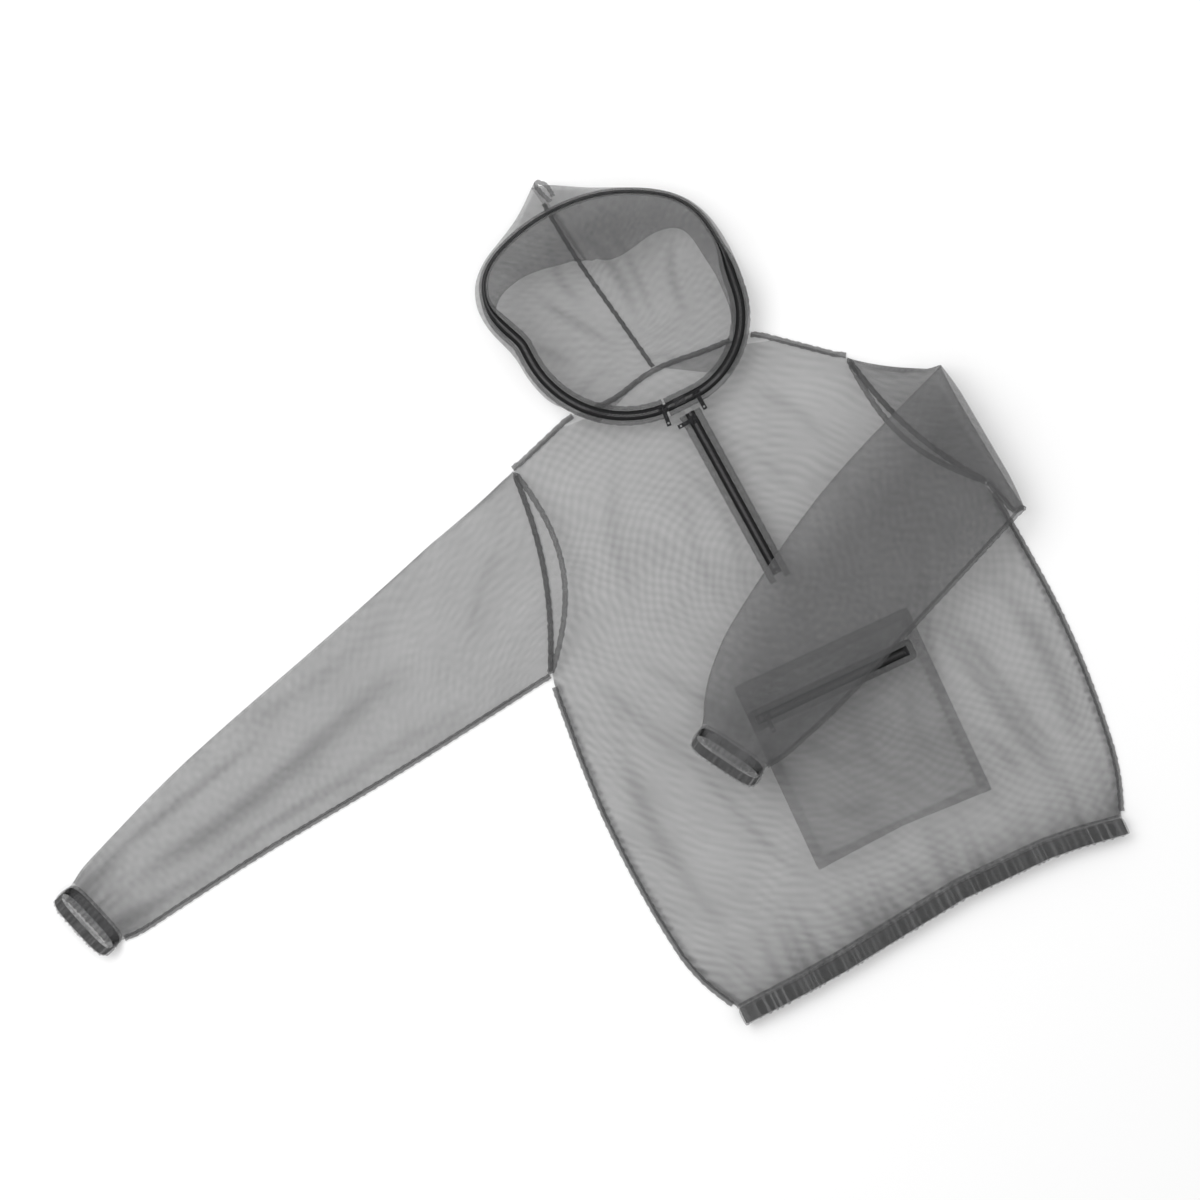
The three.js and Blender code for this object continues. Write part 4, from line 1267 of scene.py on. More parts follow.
    def bend(self, piece: bpy.types.Object) -> None:
        """Fixes a piece's placement; each kind of sleeve does it, without bending it."""
        raise NotImplementedError


@dataclass
class RightSleeve(Sleeve):
    """The laid-out sleeve. Nothing bends it between its armhole and its lower part."""

    fold_reach: float = 0.03
    cuff_reach: float = 0.05

    def bend(self, piece: bpy.types.Object) -> None:
        """Reads the record's line, which crosses the sleeve, and bakes the piece's placement into its mesh; it
        does not bend it.
        """
        joint = self.joint()
        place, out = np.array(joint["pos_m"]), across(unit(joint["axis"][:2]))
        out = np.array([*(out if out[0] < 0 else -out), 0]) * self.fold_reach
        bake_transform(piece)

    def build(self) -> None:
        """Makes the sleeve and its seam."""
        first = self.torso.armholes()["right"]
        solids = [Solid("right_sleeve_upper"), Solid("right_sleeve_lower")]
        last = Solid("right_cuff_casing").ends()
        lower_ends = self.cuff_edge(solids[1], last)
        count = round(np.linalg.norm(lower_ends[0] - first[0]) / self.spacing)
        upper, lower = self.stations(first, lower_ends, solids, count)
        rises = np.interp(np.linspace(0, 1, count), [0, 0.12, 1],
                          [self.rise_of("right_sleeve_upper"), self.rise_of("right_sleeve_lower"), 0.011])
        rows, arounds = zip(*[self.loop(u, v, r, 0) for u, v, r in zip(upper, lower, rises)])
        alongs = run_along((upper + lower) / 2)
        cloth = self.shape(list(rows), list(arounds), alongs)
        above = self.top_layer(cloth)
        self.meet_armhole(cloth, above, first, alongs)
        cloth.wave(self.wave, 0.12, SEED + 3)
        cloth.points[:, 2] = np.maximum(cloth.points[:, 2], HALF_CLOTH)
        self.reach_cuff(cloth, above, lower_ends, alongs)
        self.finish_sheet(cloth, above, np.array(lower_ends))
        piece = cloth.piece("right_sleeve_net", self.net.material())
        self.bend(piece)
        record_piece(piece, self.net, "right_sleeve_upper", "right_sleeve_lower")
        self.declare(piece, list(arounds), alongs[-1], cloth, "laid", [])
        self.underarm(cloth)

    def cuff_edge(self, solid: Solid, cuff: tuple[Array, Array]) -> tuple[Array, Array]:
        """The flat line where the sleeve's net goes into its cuff."""
        way = unit(cuff[0] - cuff[1])
        out = across(way)
        out = out if (solid.points[:, :2].mean(0) - cuff[0]) @ out < 0 else -out
        reach = (solid.points[:, :2] @ out).max()
        middle = (cuff[0] + cuff[1]) / 2
        middle = middle + out * (reach + 0.002 - middle @ out)
        half = np.linalg.norm(cuff[0] - cuff[1]) / 2
        return middle + way * half, middle - way * half

    def reach_cuff(self, cloth: Cloth, above: Array, edge: tuple[Array, Array], alongs: Array) -> None:
        """Carries the top layer on to the cuff's top band, past the edge that the lower layer ends at."""
        casing = Solid(f"{self.side}_cuff_casing")
        middle, way = (edge[0] + edge[1]) / 2, unit(edge[0] - edge[1])
        out = across(way)
        out = out if (casing.points[:, :2].mean(0) - middle) @ out > 0 else -out
        wide, high = casing.section(middle, out)
        shift = wide[high > high.mean()].min() + 2 * HALF_CLOTH
        share = (cloth.points[:, :2] - edge[1]) @ way / np.linalg.norm(edge[0] - edge[1])
        down = np.repeat(alongs, 2 * self.layer_points + 1)
        fade = ease(1 - (alongs[-1] - down) / self.cuff_reach)
        profile = np.clip(np.sin(np.pi * np.clip(share, 0, 1)), 0, 1) ** 0.4
        cloth.points[above, :2] += out * (shift * profile * fade)[above, None]

    def meet_armhole(self, cloth: Cloth, above: Array, chord: tuple[Array, Array], alongs: Array) -> None:
        """Moves the sleeve's first rings to the bowed seams and onto the panels' height."""
        wide = 2 * self.layer_points + 1
        down = np.repeat(alongs, wide)
        fade = 1 - ease(down / self.bow_reach)
        moved = [self.torso.bowed(self.on_chord(cloth.points[:, :2], chord), k)
                 - self.on_chord(cloth.points[:, :2], chord) for k in (0, 1)]
        shift = np.where(above[:, None], moved[0], moved[1])
        cloth.points[:, :2] += shift * fade[:, None]
        panel = Solid("front_panel")
        close = above & (down < 0.05)
        target = panel.height(cloth.points[close, :2]) - HALF_CLOTH
        meet = 1 - ease(down[close] / 0.05)
        cloth.points[close, 2] += meet * (target - cloth.points[close, 2])

    def on_chord(self, places: Array, chord: tuple[Array, Array]) -> Array:
        """The places' nearest points on the armhole's straight line."""
        a, b = chord
        share = np.clip((places - a) @ (b - a) / ((b - a) @ (b - a)), 0, 1)
        return a + share[:, None] * (b - a)


@dataclass
class LeftSleeve(RightSleeve):
    """The sleeve that is folded back over the chest. Its cloth turns over at the fold line.

    Attributes:
        turn_out: How far past its parts' ends the fold's outer layer reaches.
        turn_steps: Rings round the fold.
    """

    turn_out: float = 0.0085
    turn_steps: int = 16

    def bend(self, piece: bpy.types.Object) -> None:
        """Bakes the piece's placement into its mesh; it does not bend, and no part of it goes with the arm."""
        x, y, _ = self.joint()["pos_m"]
        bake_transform(piece)

    def build(self) -> None:
        """Makes the sleeve and its seam."""
        first = self.torso.armholes()["left"]
        short, long = Solid("left_sleeve_upper"), Solid("left_sleeve_lower")
        fold = self.fold_line(short, long)
        steps = np.linspace(0, 1, 22)[:, None]
        near = tuple(a + (b - a) * steps for a, b in zip(first, fold[0]))
        cuff = self.cuff_edge(long, Solid("left_cuff_casing").ends())
        count = round(np.linalg.norm(cuff[0] - fold[1][0]) / self.spacing)
        far = self.stations(fold[1], cuff, [long], count)
        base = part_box("left_sleeve_lower")[0].z
        level = (base + 2 * HALF_CLOTH) / 2
        rise = (self.rise_of("left_sleeve_upper"), self.rise_of("left_sleeve_lower"))
        rows, arounds = [], []
        for u, v in zip(*near):
            ring, around = self.loop(u, v, rise[0], 0)
            rows.append(ring)
            arounds.append(around)
        start = rows[-1]
        turned = [self.over(*self.loop(u, v, rise[1] - t * (rise[1] - 0.011), base))
                  for u, v, t in zip(*far, ease(np.linspace(0, 1, count)))]
        out = unit(np.array([*(-across(unit(self.joint()["axis"][:2]))), 0]))
        out = out if out[0] > 0 else -out
        for f in np.linspace(0, 1, self.turn_steps + 2)[1:-1]:
            here, there = start, turned[0][0]
            drop = (level - here[:, 2]) * (1 - f) + (there[:, 2] - level) * f
            ring = here * (1 - f) + there * f
            ring = ring + out * (self.turn_out * (0.25 + 0.75 * drop / level) * math.sin(np.pi * f))[:, None]
            ring[:, 2] = level - drop * math.cos(np.pi * f)
            rows.append(ring)
            arounds.append(arounds[-1])
        rows += [ring for ring, _ in turned]
        arounds += [around for _, around in turned]
        rows = np.stack(rows)
        alongs = run_along(rows.mean(1))
        cloth = self.shape(list(rows), arounds, alongs)
        sewn_on_top = self.top_layer(cloth)
        self.meet_armhole(cloth, sewn_on_top, first, alongs)
        cloth.wave(self.wave, 0.12, SEED + 7)
        folded = cloth.points[:, 2] > level
        above = folded & ~sewn_on_top
        self.reach_cuff(cloth, above, cuff, alongs)
        self.finish_sheet(cloth, above, np.array(cuff))
        floor = np.where(folded, 0, HALF_CLOTH)
        floor[(len(steps) + self.turn_steps) * (2 * self.layer_points + 1):] = base + HALF_CLOTH / 2
        cloth.points[:, 2] = np.maximum(cloth.points[:, 2], floor)
        piece = cloth.piece("left_sleeve_net", self.net.material())
        self.bend(piece)
        record_piece(piece, self.net, "left_sleeve_upper", "left_sleeve_lower")
        self.declare(piece, arounds, alongs[-1], cloth, "folded", ["front_panel_net"])
        self.underarm(cloth)

    def over(self, ring: Array, around: Array) -> tuple[Array, Array]:
        """A ring turned over, so that the sleeve's lower layer is on top."""
        n = self.layer_points
        swapped = ring.copy()
        swapped[: n + 1, 2] = ring[n:, 2][::-1]
        swapped[n:, 2] = ring[: n + 1, 2][::-1]
        return swapped, run_along(swapped)

    def fold_line(self, short: Solid, long: Solid) -> tuple[tuple[Array, Array], tuple[Array, Array]]:
        """The ends of both parts of the sleeve at the fold, upper end first."""
        joint = self.joint()
        axis = unit(joint["axis"][:2])
        place = np.array(joint["pos_m"][:2])
        found = []
        for solid in (short, long):
            flat = solid.points[:, :2] - place
            beside = np.abs(flat @ across(axis))
            close = flat[beside < beside.min() + 0.002]
            along = close @ axis
            found.append((place + close[along.argmax()], place + close[along.argmin()]))
        return found[0], found[1]


# ---------------------------------------------------------------- gathered bands


@dataclass
class Band:
    """A gathered casing over an elastic: a flat tube that runs round an open end.

    Attributes:
        name: The CAD nodes' first words.
        body: The body that it moves with.
        gathers: Its pleats.
        height: How high its pleats stand.
        scallop: How far its outer edge wanders.
        thick: Its thickness over the elastic.
        step: From ring to ring.
        overlap: How far it runs over the net that it gathers.
        lower_run: How much wider its lower layer shows.
    """

    name: str
    body: Body
    gathers: Gathers = Gathers()
    height: float = 0.0022
    scallop: float = 0.0016
    thick: float = 0.0026
    step: float = 0.0011
    overlap: float = 0.0035
    lower_run: float = 0.0

    def loop(self) -> tuple[Array, Array, Array]:
        """The casing's loop, traced from its CAD solid.

        Returns:
            The points of its inner edge and of its outer edge, and how far along each comes.
        """
        solid = Solid(f"{self.name}_casing")
        a, b = solid.ends()
        if a[0] > b[0]:
            a, b = b, a
        way = unit(b - a)
        out = across(way)
        net = Solid("front_panel" if self.name == "hem" else f"{self.name.split('_')[0]}_sleeve_lower")
        out = out if (net.points[:, :2].mean(0) - a) @ out < 0 else -out
        length = np.linalg.norm(b - a)
        low, high = solid.points[:, 2].min(), solid.points[:, 2].max()
        middle = (low + high) / 2
        radius = (high - low) / 2 - self.thick / 2
        inner, outer = [], []
        for sign in (1, -1):
            stops = np.linspace(radius * 0.7, length - radius * 0.7, 40)
            for s in stops if sign == 1 else stops[::-1]:
                wide, z = solid.section(a + way * s, out)
                layer = wide[(z - middle) * sign > 0.1 * radius]
                place = a + way * s
                inner.append([*(place + out * layer.min()), middle + sign * radius])
                outer.append([*(place + out * layer.max()), middle + sign * radius])
        inner, outer = np.array(inner), np.array(outer)
        inner, outer = self.rounded(inner, way, radius, middle), self.rounded(outer, way, radius, middle)
        steps = round(run_along(outer)[-1] / self.step)
        at = np.linspace(0, 1, steps, endpoint=False)
        inner, outer = (np.column_stack([np.interp(at * run_along(e)[-1], run_along(e), e[:, k])
                                         for k in range(3)]) for e in (inner, outer))
        return averaged(inner, 4, True), averaged(outer, 4, True), at * steps * self.step

    def rounded(self, edge: Array, way: Array, radius: float, middle: float) -> Array:
        """Closes an edge's two runs with a round turn at each end."""
        half = len(edge) // 2
        turns = []
        for last, following, sign in ((edge[half - 1], edge[half], 1), (edge[-1], edge[0], -1)):
            angles = np.linspace(0, np.pi, 9)[1:-1]
            for k in angles:
                share = (1 - math.cos(k)) / 2
                place = last + (following - last) * share
                place[:2] += way * sign * radius * 0.6 * math.sin(k)
                place[2] = middle + sign * radius * math.cos(k)
                turns.append(place)
        n = len(turns) // 2
        return np.vstack([edge[:half], turns[:n], edge[half:], turns[n:], edge[:1]])

    def build(self) -> None:
        """Makes the casing, its stitching and its elastic's finish."""
        inner, outer, along = self.loop()
        back = inner - outer
        back /= np.linalg.norm(back, axis=1, keepdims=True)
        ahead = np.roll(outer, -1, 0) - np.roll(outer, 1, 0)
        normal = np.cross(back, ahead)
        normal /= np.linalg.norm(normal, axis=1, keepdims=True)
        outwards = outer - outer.mean(0)
        normal *= np.where(np.sum(normal * outwards, axis=1) < 0, -1, 1)[:, None]
        flatness = np.abs(normal[:, 2])
        normal[:, 2] = np.where(flatness > 0.5, np.sign(outwards[:, 2]) * flatness, normal[:, 2])
        ridge = self.gathers.ridge(along)
        lean = np.gradient(ridge) * 0.6
        upper = outwards[:, 2] > 0
        high = self.height * ridge * np.where(upper, 1, 0.35)
        start = inner + back * self.overlap
        stop = outer - back * (self.scallop * ridge)[:, None]
        under = np.clip(-outwards[:, 2] / np.abs(outwards[:, 2]).max(), 0, 1)
        stop = stop - back * (self.lower_run * under)[:, None]
        profile = []
        half = self.thick / 2
        for t, lift in ((0, 0.15), (0.06, 0.7), (0.16, 0.5), (0.3, 1), (0.5, 1.1), (0.7, 1), (0.86, 0.9),
                        (0.96, 0.6), (1, 0)):
            profile.append((t, lift, 1))
        for t, lift, _ in profile[-2:0:-1]:
            profile.append((t, lift, -1))
        rows, flat = [], []
        tangent = ahead / np.linalg.norm(ahead, axis=1, keepdims=True)
        for t, lift, sign in profile:
            stitched = 0.45 if abs(t - 0.16) < 0.01 else 1
            place = start + (stop - start) * t
            off = sign * half * lift + (high * stitched * (1 if sign > 0 else 0.55)) * min(1, lift + 0.35)
            rows.append(place + normal * off[:, None] + tangent * (lean * 0.001 * sign)[:, None])
            flat.append(np.column_stack([along, np.full(len(along), t * 0.025 + (0 if sign > 0 else 0.03))]))
        cloth = grid_cloth(np.stack(rows + rows[:1]), np.stack(flat + flat[:1]), closed=True)
        cloth = welded(cloth, len(along))
        cloth.points[:, 2] = np.maximum(cloth.points[:, 2], 0.0002)
        ridges = np.tile(ridge, len(profile))
        # Denser on the pleats' ridges and thinner between them: with the casing's lighter net this paints
        # highlights on the ridges and darker troughs over the elastic.
        cloth.density = 1.4 * ridges - 0.2
        place_piece(cloth.piece(f"{self.name}_gathered_casing", CASING_NET_PAINTED_HIGHLIGHT.material()), self.body, CASING_NET_PAINTED_HIGHLIGHT,
                    f"{self.name}_casing")
        top = start + (stop - start) * 0.16 + normal * (half * 0.5 + high * 0.45 + 0.0002)[:, None]
        stitches = Stitching().cloth(top[upper])
        place_piece(stitches.piece(f"{self.name}_stitching", BINDING_NET.material()), self.body, BINDING_NET)
        dress_node(f"{self.name}_elastic", ELASTIC)


def dress_node(name: str, finish: Finish, soften: float = 0.0) -> None:
    """Gives a CAD node that stays its finish.

    Args:
        name: The node.
        finish: Its finish.
        soften: Radius that its corners are rounded to, or 0.
    """
    node = frame["nodes"][name]
    node.data.materials.clear()
    node.data.materials.append(finish.material())
    if soften:
        bevel = node.modifiers.new("edges", "BEVEL")
        bevel.width, bevel.segments, bevel.limit_method = soften, 2, "ANGLE"
    LOG.info("%s keeps its CAD shape, %s", name, finish.name)


# ---------------------------------------------------------------- hood


class Ring:
    """The face zip's line round the face, traced from its tapes, from the right end at the chin upwards.

    Attributes:
        slot: From its line to each tape.
        most_tilt: How far it stands on edge round the crown, in degrees.
        on_edge: The turns that it starts and stops standing up between, and those that it lies down between.
    """

    slot: float = 0.0012
    most_tilt: float = 62.0
    on_edge: tuple[tuple[float, float], tuple[float, float]] = ((99.0, 118.0), (262.0, 282.0))

    def __init__(self, count: int = 240) -> None:
        """Cuts the tapes along rays from the middle of the face."""
        outer, inner = Solid("hood_zip_outer_tape"), Solid("hood_zip_inner_tape")
        low, high = inner.points.min(0), inner.points.max(0)
        self.middle = ((low + high) / 2)[:2]
        rows = []
        self.turns = []
        for turn in np.linspace(0, 2 * np.pi, count, endpoint=False):
            way = self.way(turn)
            far, near = outer.section(self.middle, way)[0], inner.section(self.middle, way)[0]
            far, near = far[far > 0], near[near > 0]
            if len(far) and len(near):
                rows.append([*(self.middle + way * (far.min() + near.max()) / 2)])
                self.turns.append(turn)
        flat = np.array(rows)
        points = np.vstack([outer.points, inner.points])
        terms = np.column_stack([points[:, 1], np.ones(len(points))])
        fit = np.linalg.lstsq(terms, points[:, 2], rcond=None)[0]
        self.slope, self.level = fit
        self.flat = averaged(flat, 2)
        self.turns = np.array(self.turns)

    def way(self, turn: float) -> Array:
        """The flat direction at a turn clockwise from the chin."""
        angle = -np.pi / 2 - turn
        return np.array([math.cos(angle), math.sin(angle)])

    def plane(self, places: Array) -> Array:
        """The height of the opening's plane at flat places."""
        return self.slope * places[:, 1] + self.level

    def tilt(self) -> Array:
        """How far the zip stands on edge past its sliders' travel, in radians, at each of its points."""
        turn = np.degrees(self.turns)
        (start, full), (easing, flat) = self.on_edge
        return math.radians(self.most_tilt) * ease((turn - start) / (full - start)) * (
            1 - ease((turn - easing) / (flat - easing)))

    def sides(self) -> Array:
        """The flat direction out from the face at each point."""
        ahead = np.gradient(self.flat, axis=0)
        side = np.column_stack([-ahead[:, 1], ahead[:, 0]])
        return side / np.linalg.norm(side, axis=1, keepdims=True)

    def beside(self, out: float, lift: float = 0.0) -> Array:
        """The zip's line moved out from the face and up from the tape, as the tape tilts."""
        tilt = self.tilt()
        wide = out * np.cos(tilt) + lift * np.sin(tilt)
        moved = averaged(self.flat + self.sides() * wide[:, None], 3)
        return np.column_stack([moved, self.plane(self.flat) + lift * np.cos(tilt) - out * np.sin(tilt)
                                + self.slope * (moved - self.flat)[:, 1]])

    def tapes(self, tape: Strip) -> None:
        """Makes the two tapes, which turn up on edge with the rest."""
        for side, sign in (("outer", 1), ("inner", -1)):
            strip = tape.cloth(self.beside(sign * (self.slot + tape.width / 2), tape.thick / 2), self.normals())
            place_piece(strip.piece(f"hood_zip_{side}_tape_strip", ZIP_TAPE.material()), Body.JACKET, ZIP_TAPE,
                        f"hood_zip_{side}_tape")

    def normals(self) -> Array:
        """The way that the tape faces at each of its points."""
        tilt = self.tilt()[:, None]
        up = np.cos(tilt) * unit((0, -self.slope, 1)) + np.sin(tilt) * np.pad(self.sides(), ((0, 0), (0, 1)))
        return up / np.linalg.norm(up, axis=1, keepdims=True)


@dataclass
class Hood:
    """The hood's two halves, its seams and the bindings of its face opening.

    Attributes:
        binding_from: From the zip's line to the bindings' near edge.
        binding: The strips that bind the opening and the veil.
        tucks: How far the hood turns in behind the opening, at turns clockwise from the chin in degrees.
        columns: Points from the neck to the crown of each half.
        rows: Points from the opening back to the seam.
        peak_wave: Height of the waves in the cloth.
    """

    binding_from: float = 0.0050
    binding: Strip = Strip(width=0.0055, thick=0.0012, pucker=0.00025)
    seam: Strip = Strip(width=0.0048, thick=0.001)
    tucks: tuple[tuple[float, float], ...] = (
        (0, 0.0), (60, 0.0), (100, 0.002), (112, 0.008), (120, 0.018), (130, 0.035), (150, 0.055),
        (180, 0.067), (205, 0.070), (220, 0.060), (232, 0.040), (244, 0.024), (262, 0.022), (290, 0.020),
        (315, 0.010), (340, 0.0), (360, 0.0),
    )
    columns: int = 110
    rows: int = 46
    peak_wave: float = 0.0012

    def build(self, ring: Ring) -> None:
        """Makes the hood round the zip's line."""
        for side in ("right", "left"):
            self.half(side, ring)
        for name, out, replaced in (("hood_opening_binding_strip", 1, "hood_opening_binding"),
                                    ("veil_binding_strip", -1, "veil_binding")):
            line = ring.beside(out * (self.binding_from + self.binding.width / 2), 0.0009)
            strip = self.binding.cloth(line, ring.normals())
            strip.density += 0.35
            place_piece(strip.piece(name, BINDING_NET.material()), Body.JACKET, BINDING_NET, replaced)
            row = ring.beside(out * (self.binding_from + 0.0013), 0.0016)
            stitches = Stitching().cloth(row)
            place_piece(stitches.piece(f"{name}_stitches", BINDING_NET.material()), Body.JACKET, BINDING_NET)
        back = Solid("hood_back_seam").centreline((0, 1), 10)
        line = smooth_line(back + (0, 0, 0.0004), 50)
        strip = self.seam.cloth(line)
        strip.density += 0.6
        place_piece(strip.piece("hood_back_seam_strip", BINDING_NET.material()), Body.JACKET, BINDING_NET,
                    "hood_back_seam")
        self.crown()

    def crown(self) -> None:
        """The crown seam, an arch of seam allowance that stands from the opening to the hood's peak."""
        line = Solid("hood_crown_seam").centreline((0, 1), 6)
        low, high = line[0], line[-1]
        rise = high - low
        shape = ((-0.08, 0.0), (-0.10, 0.5), (-0.04, 0.93), (0.10, 0.97), (0.22, 0.62), (0.12, 0.1))
        side = np.array([rise[1], -rise[0], 0])
        arch = smooth_line([low + rise * t + side * s + (0, 0, 0.0015) for s, t in shape], 60)
        strip = self.seam.cloth(arch)
        strip.density += 0.6
        place_piece(strip.piece("hood_crown_seam_arch", BINDING_NET.material()), Body.JACKET, BINDING_NET,
                    "hood_crown_seam")

    def half(self, side: str, ring: Ring) -> None:
        """One half of the hood: from the opening in behind it, out over the side and back to the seam."""
        node = f"hood_{side}_half"
        solid = Solid(node)
        both = Solid("hood_right_half", "hood_left_half")
        flat = solid.points[:, :2] - ring.middle
        turns = np.mod(-np.pi / 2 - np.arctan2(flat[:, 1], flat[:, 0]), 2 * np.pi)
        far = np.linalg.norm(flat, axis=1) > 0.6 * np.linalg.norm(flat, axis=1).max() * 0.8
        neck, crown = turns[far].min(), turns[far].max()
        if side == "left":
            neck, crown = crown, neck
        seam = Solid("hood_back_seam").centreline((0, 1), 12)[:, :2]
        seam = np.vstack([seam, smooth_line([seam[-1], both.points[both.points[:, 1].argmax(), :2]], 6)[1:]])
        opening = ring.beside(self.binding_from + 0.0022, -0.0014)
        opening_turns = np.mod(-np.pi / 2 - np.arctan2(*(opening[:, :2] - ring.middle).T[::-1]), 2 * np.pi)
        order = np.argsort(opening_turns)
        shares = np.linspace(0, 1, self.columns)
        wide = np.array([self.widest(both, ring, neck + (crown - neck) * u) for u in shares])
        wide = averaged(wide, 10)
        seam_run = run_along(seam) / run_along(seam)[-1]
        rows = np.zeros((self.columns, self.rows, 3))
        for i, u in enumerate(shares):
            turn = neck + (crown - neck) * u
            way = ring.way(turn)
            edge = np.array([np.interp(turn, opening_turns[order], opening[order, k]) for k in range(3)])
            radius = np.linalg.norm(edge[:2] - ring.middle)
            tuck = float(self.tuck(turn))
            widest = max(wide[i], radius + 0.002)
            end = np.array([np.interp(u * 0.97, seam_run, seam[:, k]) for k in range(2)])
            high = edge[2]
            path = [(radius, high), (radius - tuck * 0.5, high - 0.006 - 0.1 * tuck),
                    (radius - tuck, high * 0.62), (radius - tuck * 0.55, high * 0.42),
                    (widest * 0.5 + radius * 0.5, max(high * 0.3, 0.006)), (widest, 0.0065)]
            wall = smooth_line(path, 60)
            wall = even_line(wall, run_along(wall)[-1] / 25.001)
            points = [[*(ring.middle + way * r), z] for r, z in wall]
            tip = ring.middle + way * widest
            left = self.rows - len(points)
            for k in range(1, left + 1):
                t = ease(k / left) * 0.35 + 0.65 * k / left
                place = tip + (end - tip) * t
                points.append([*place, HALF_CLOTH + (0.0065 - HALF_CLOTH) * (1 - ease(k / left * 5))])
            rows[i] = points[: self.rows]
        rows = self.evened(rows)
        lengths = np.linalg.norm(np.diff(rows, axis=1), axis=2)
        down = np.column_stack([np.zeros(self.columns), np.cumsum(lengths, axis=1)])
        along = run_along(rows[:, 0])
        cloth = grid_cloth(rows, np.stack([np.repeat(along[:, None], self.rows, 1), down], axis=2))
        cloth.wave(self.peak_wave, 0.05, SEED + (2 if side == "left" else 1))
        cloth.points[:, 2] = np.maximum(cloth.points[:, 2], HALF_CLOTH)
        cloth.thicken_on_slopes(0.25, 1.5)
        piece = place_piece(cloth.piece(f"{node}_net", HOOD_NET.material()), Body.JACKET, HOOD_NET, node)
        deep, long = np.max(down), along[-1]
        min(cloth.cut_area(), deep * long)

    def evened(self, rows: Array) -> Array:
        """Rows averaged with their neighbours, so that no column kinks."""
        out = rows.copy()
        for _ in range(6):
            out[1:-1] = (out[:-2] + 2 * out[1:-1] + out[2:]) / 4
        return out

    def tuck(self, turn: float) -> float:
        """How far the hood turns in behind the opening at a turn."""
        degrees, depths = zip(*self.tucks)
        line = smooth_line(list(zip(degrees, depths)), 400)
        return max(0.0, np.interp(math.degrees(turn), line[:, 0], line[:, 1]))

    def widest(self, solid: Solid, ring: Ring, turn: float) -> float:
        """How far the hood's outline is from the middle of the face at a turn."""
        reach = solid.section(ring.middle, ring.way(turn))[0]
        return float(reach.max()) if len(reach) else 0.0


@dataclass
class Veil:
    """The face veil, a single sheet that sags inside the zip.

    Attributes:
        spacing: From point to point of its net.
        sag: How far its middle hangs below the opening.
        folds: Its creases, from its middle in shares of its half width and half height.
    """

    spacing: float = 0.0042
    sag: float = 0.011
    folds: tuple[tuple[tuple[tuple[float, float], ...], float, float, float], ...] = (
        (((-0.66, 0.52), (-0.48, 0.15), (-0.30, -0.12), (-0.10, -0.42)), 0.004, 0.0045, 0.5),
        (((-0.92, 0.14), (-0.70, -0.16), (-0.48, -0.36)), 0.003, 0.004, 0.35),
        (((-0.06, 0.80), (0.08, 0.46), (0.12, 0.10), (0.10, -0.30)), 0.004, 0.0055, 0.55),
        (((0.22, 0.72), (0.26, 0.20), (0.24, -0.38)), 0.003, 0.004, 0.4),
        (((0.72, 0.40), (0.55, 0.08), (0.50, -0.42)), 0.004, 0.005, 0.5),
        (((-0.30, 0.86), (-0.36, 0.40), (-0.20, 0.05)), 0.003, 0.005, 0.35),
        (((0.40, -0.85), (0.20, -0.60), (-0.10, -0.55)), 0.003, 0.005, 0.3),
        (((-0.70, -0.62), (-0.40, -0.50), (-0.20, -0.60)), 0.003, 0.005, 0.3),
    )

    def build(self, ring: Ring, inset: float) -> None:
        """Makes the veil inside the ring.

        Args:
            ring: The zip's line.
            inset: How far inside that line the veil's edge lies.
        """
        rim = ring.beside(-inset)
        cloth = cut_cloth(grown(rim[::-1, :2], 0), self.spacing)
        places = cloth.points[:, :2]
        away = np.array([np.min(np.linalg.norm(rim[:, :2] - p, axis=1)) for p in places])
        depth = pillow(away, away.max())
        cloth.points[:, 2] = ring.plane(places) + 0.0002 - self.sag * depth
        half = (rim[:, :2].max(0) - rim[:, :2].min(0)) / 2
        middle = (rim[:, :2].max(0) + rim[:, :2].min(0)) / 2
        creases = [Crease(tuple(tuple(middle + half * p) for p in line), rise, spread, dense)
                   for line, rise, spread, dense in self.folds]
        cloth.wave(0.0016, 0.06, SEED + 9)
        cloth.fold(creases)
        cloth.thicken_on_slopes(0.6, 1.5)
        piece = place_piece(cloth.piece("veil_net", HOOD_NET.material()), Body.JACKET, HOOD_NET, "veil")
        wide, long = (rim[:, :2].max(0) - rim[:, :2].min(0)) * (1, 1.04)
        min(cloth.cut_area(), wide * long)


# ---------------------------------------------------------------- zips


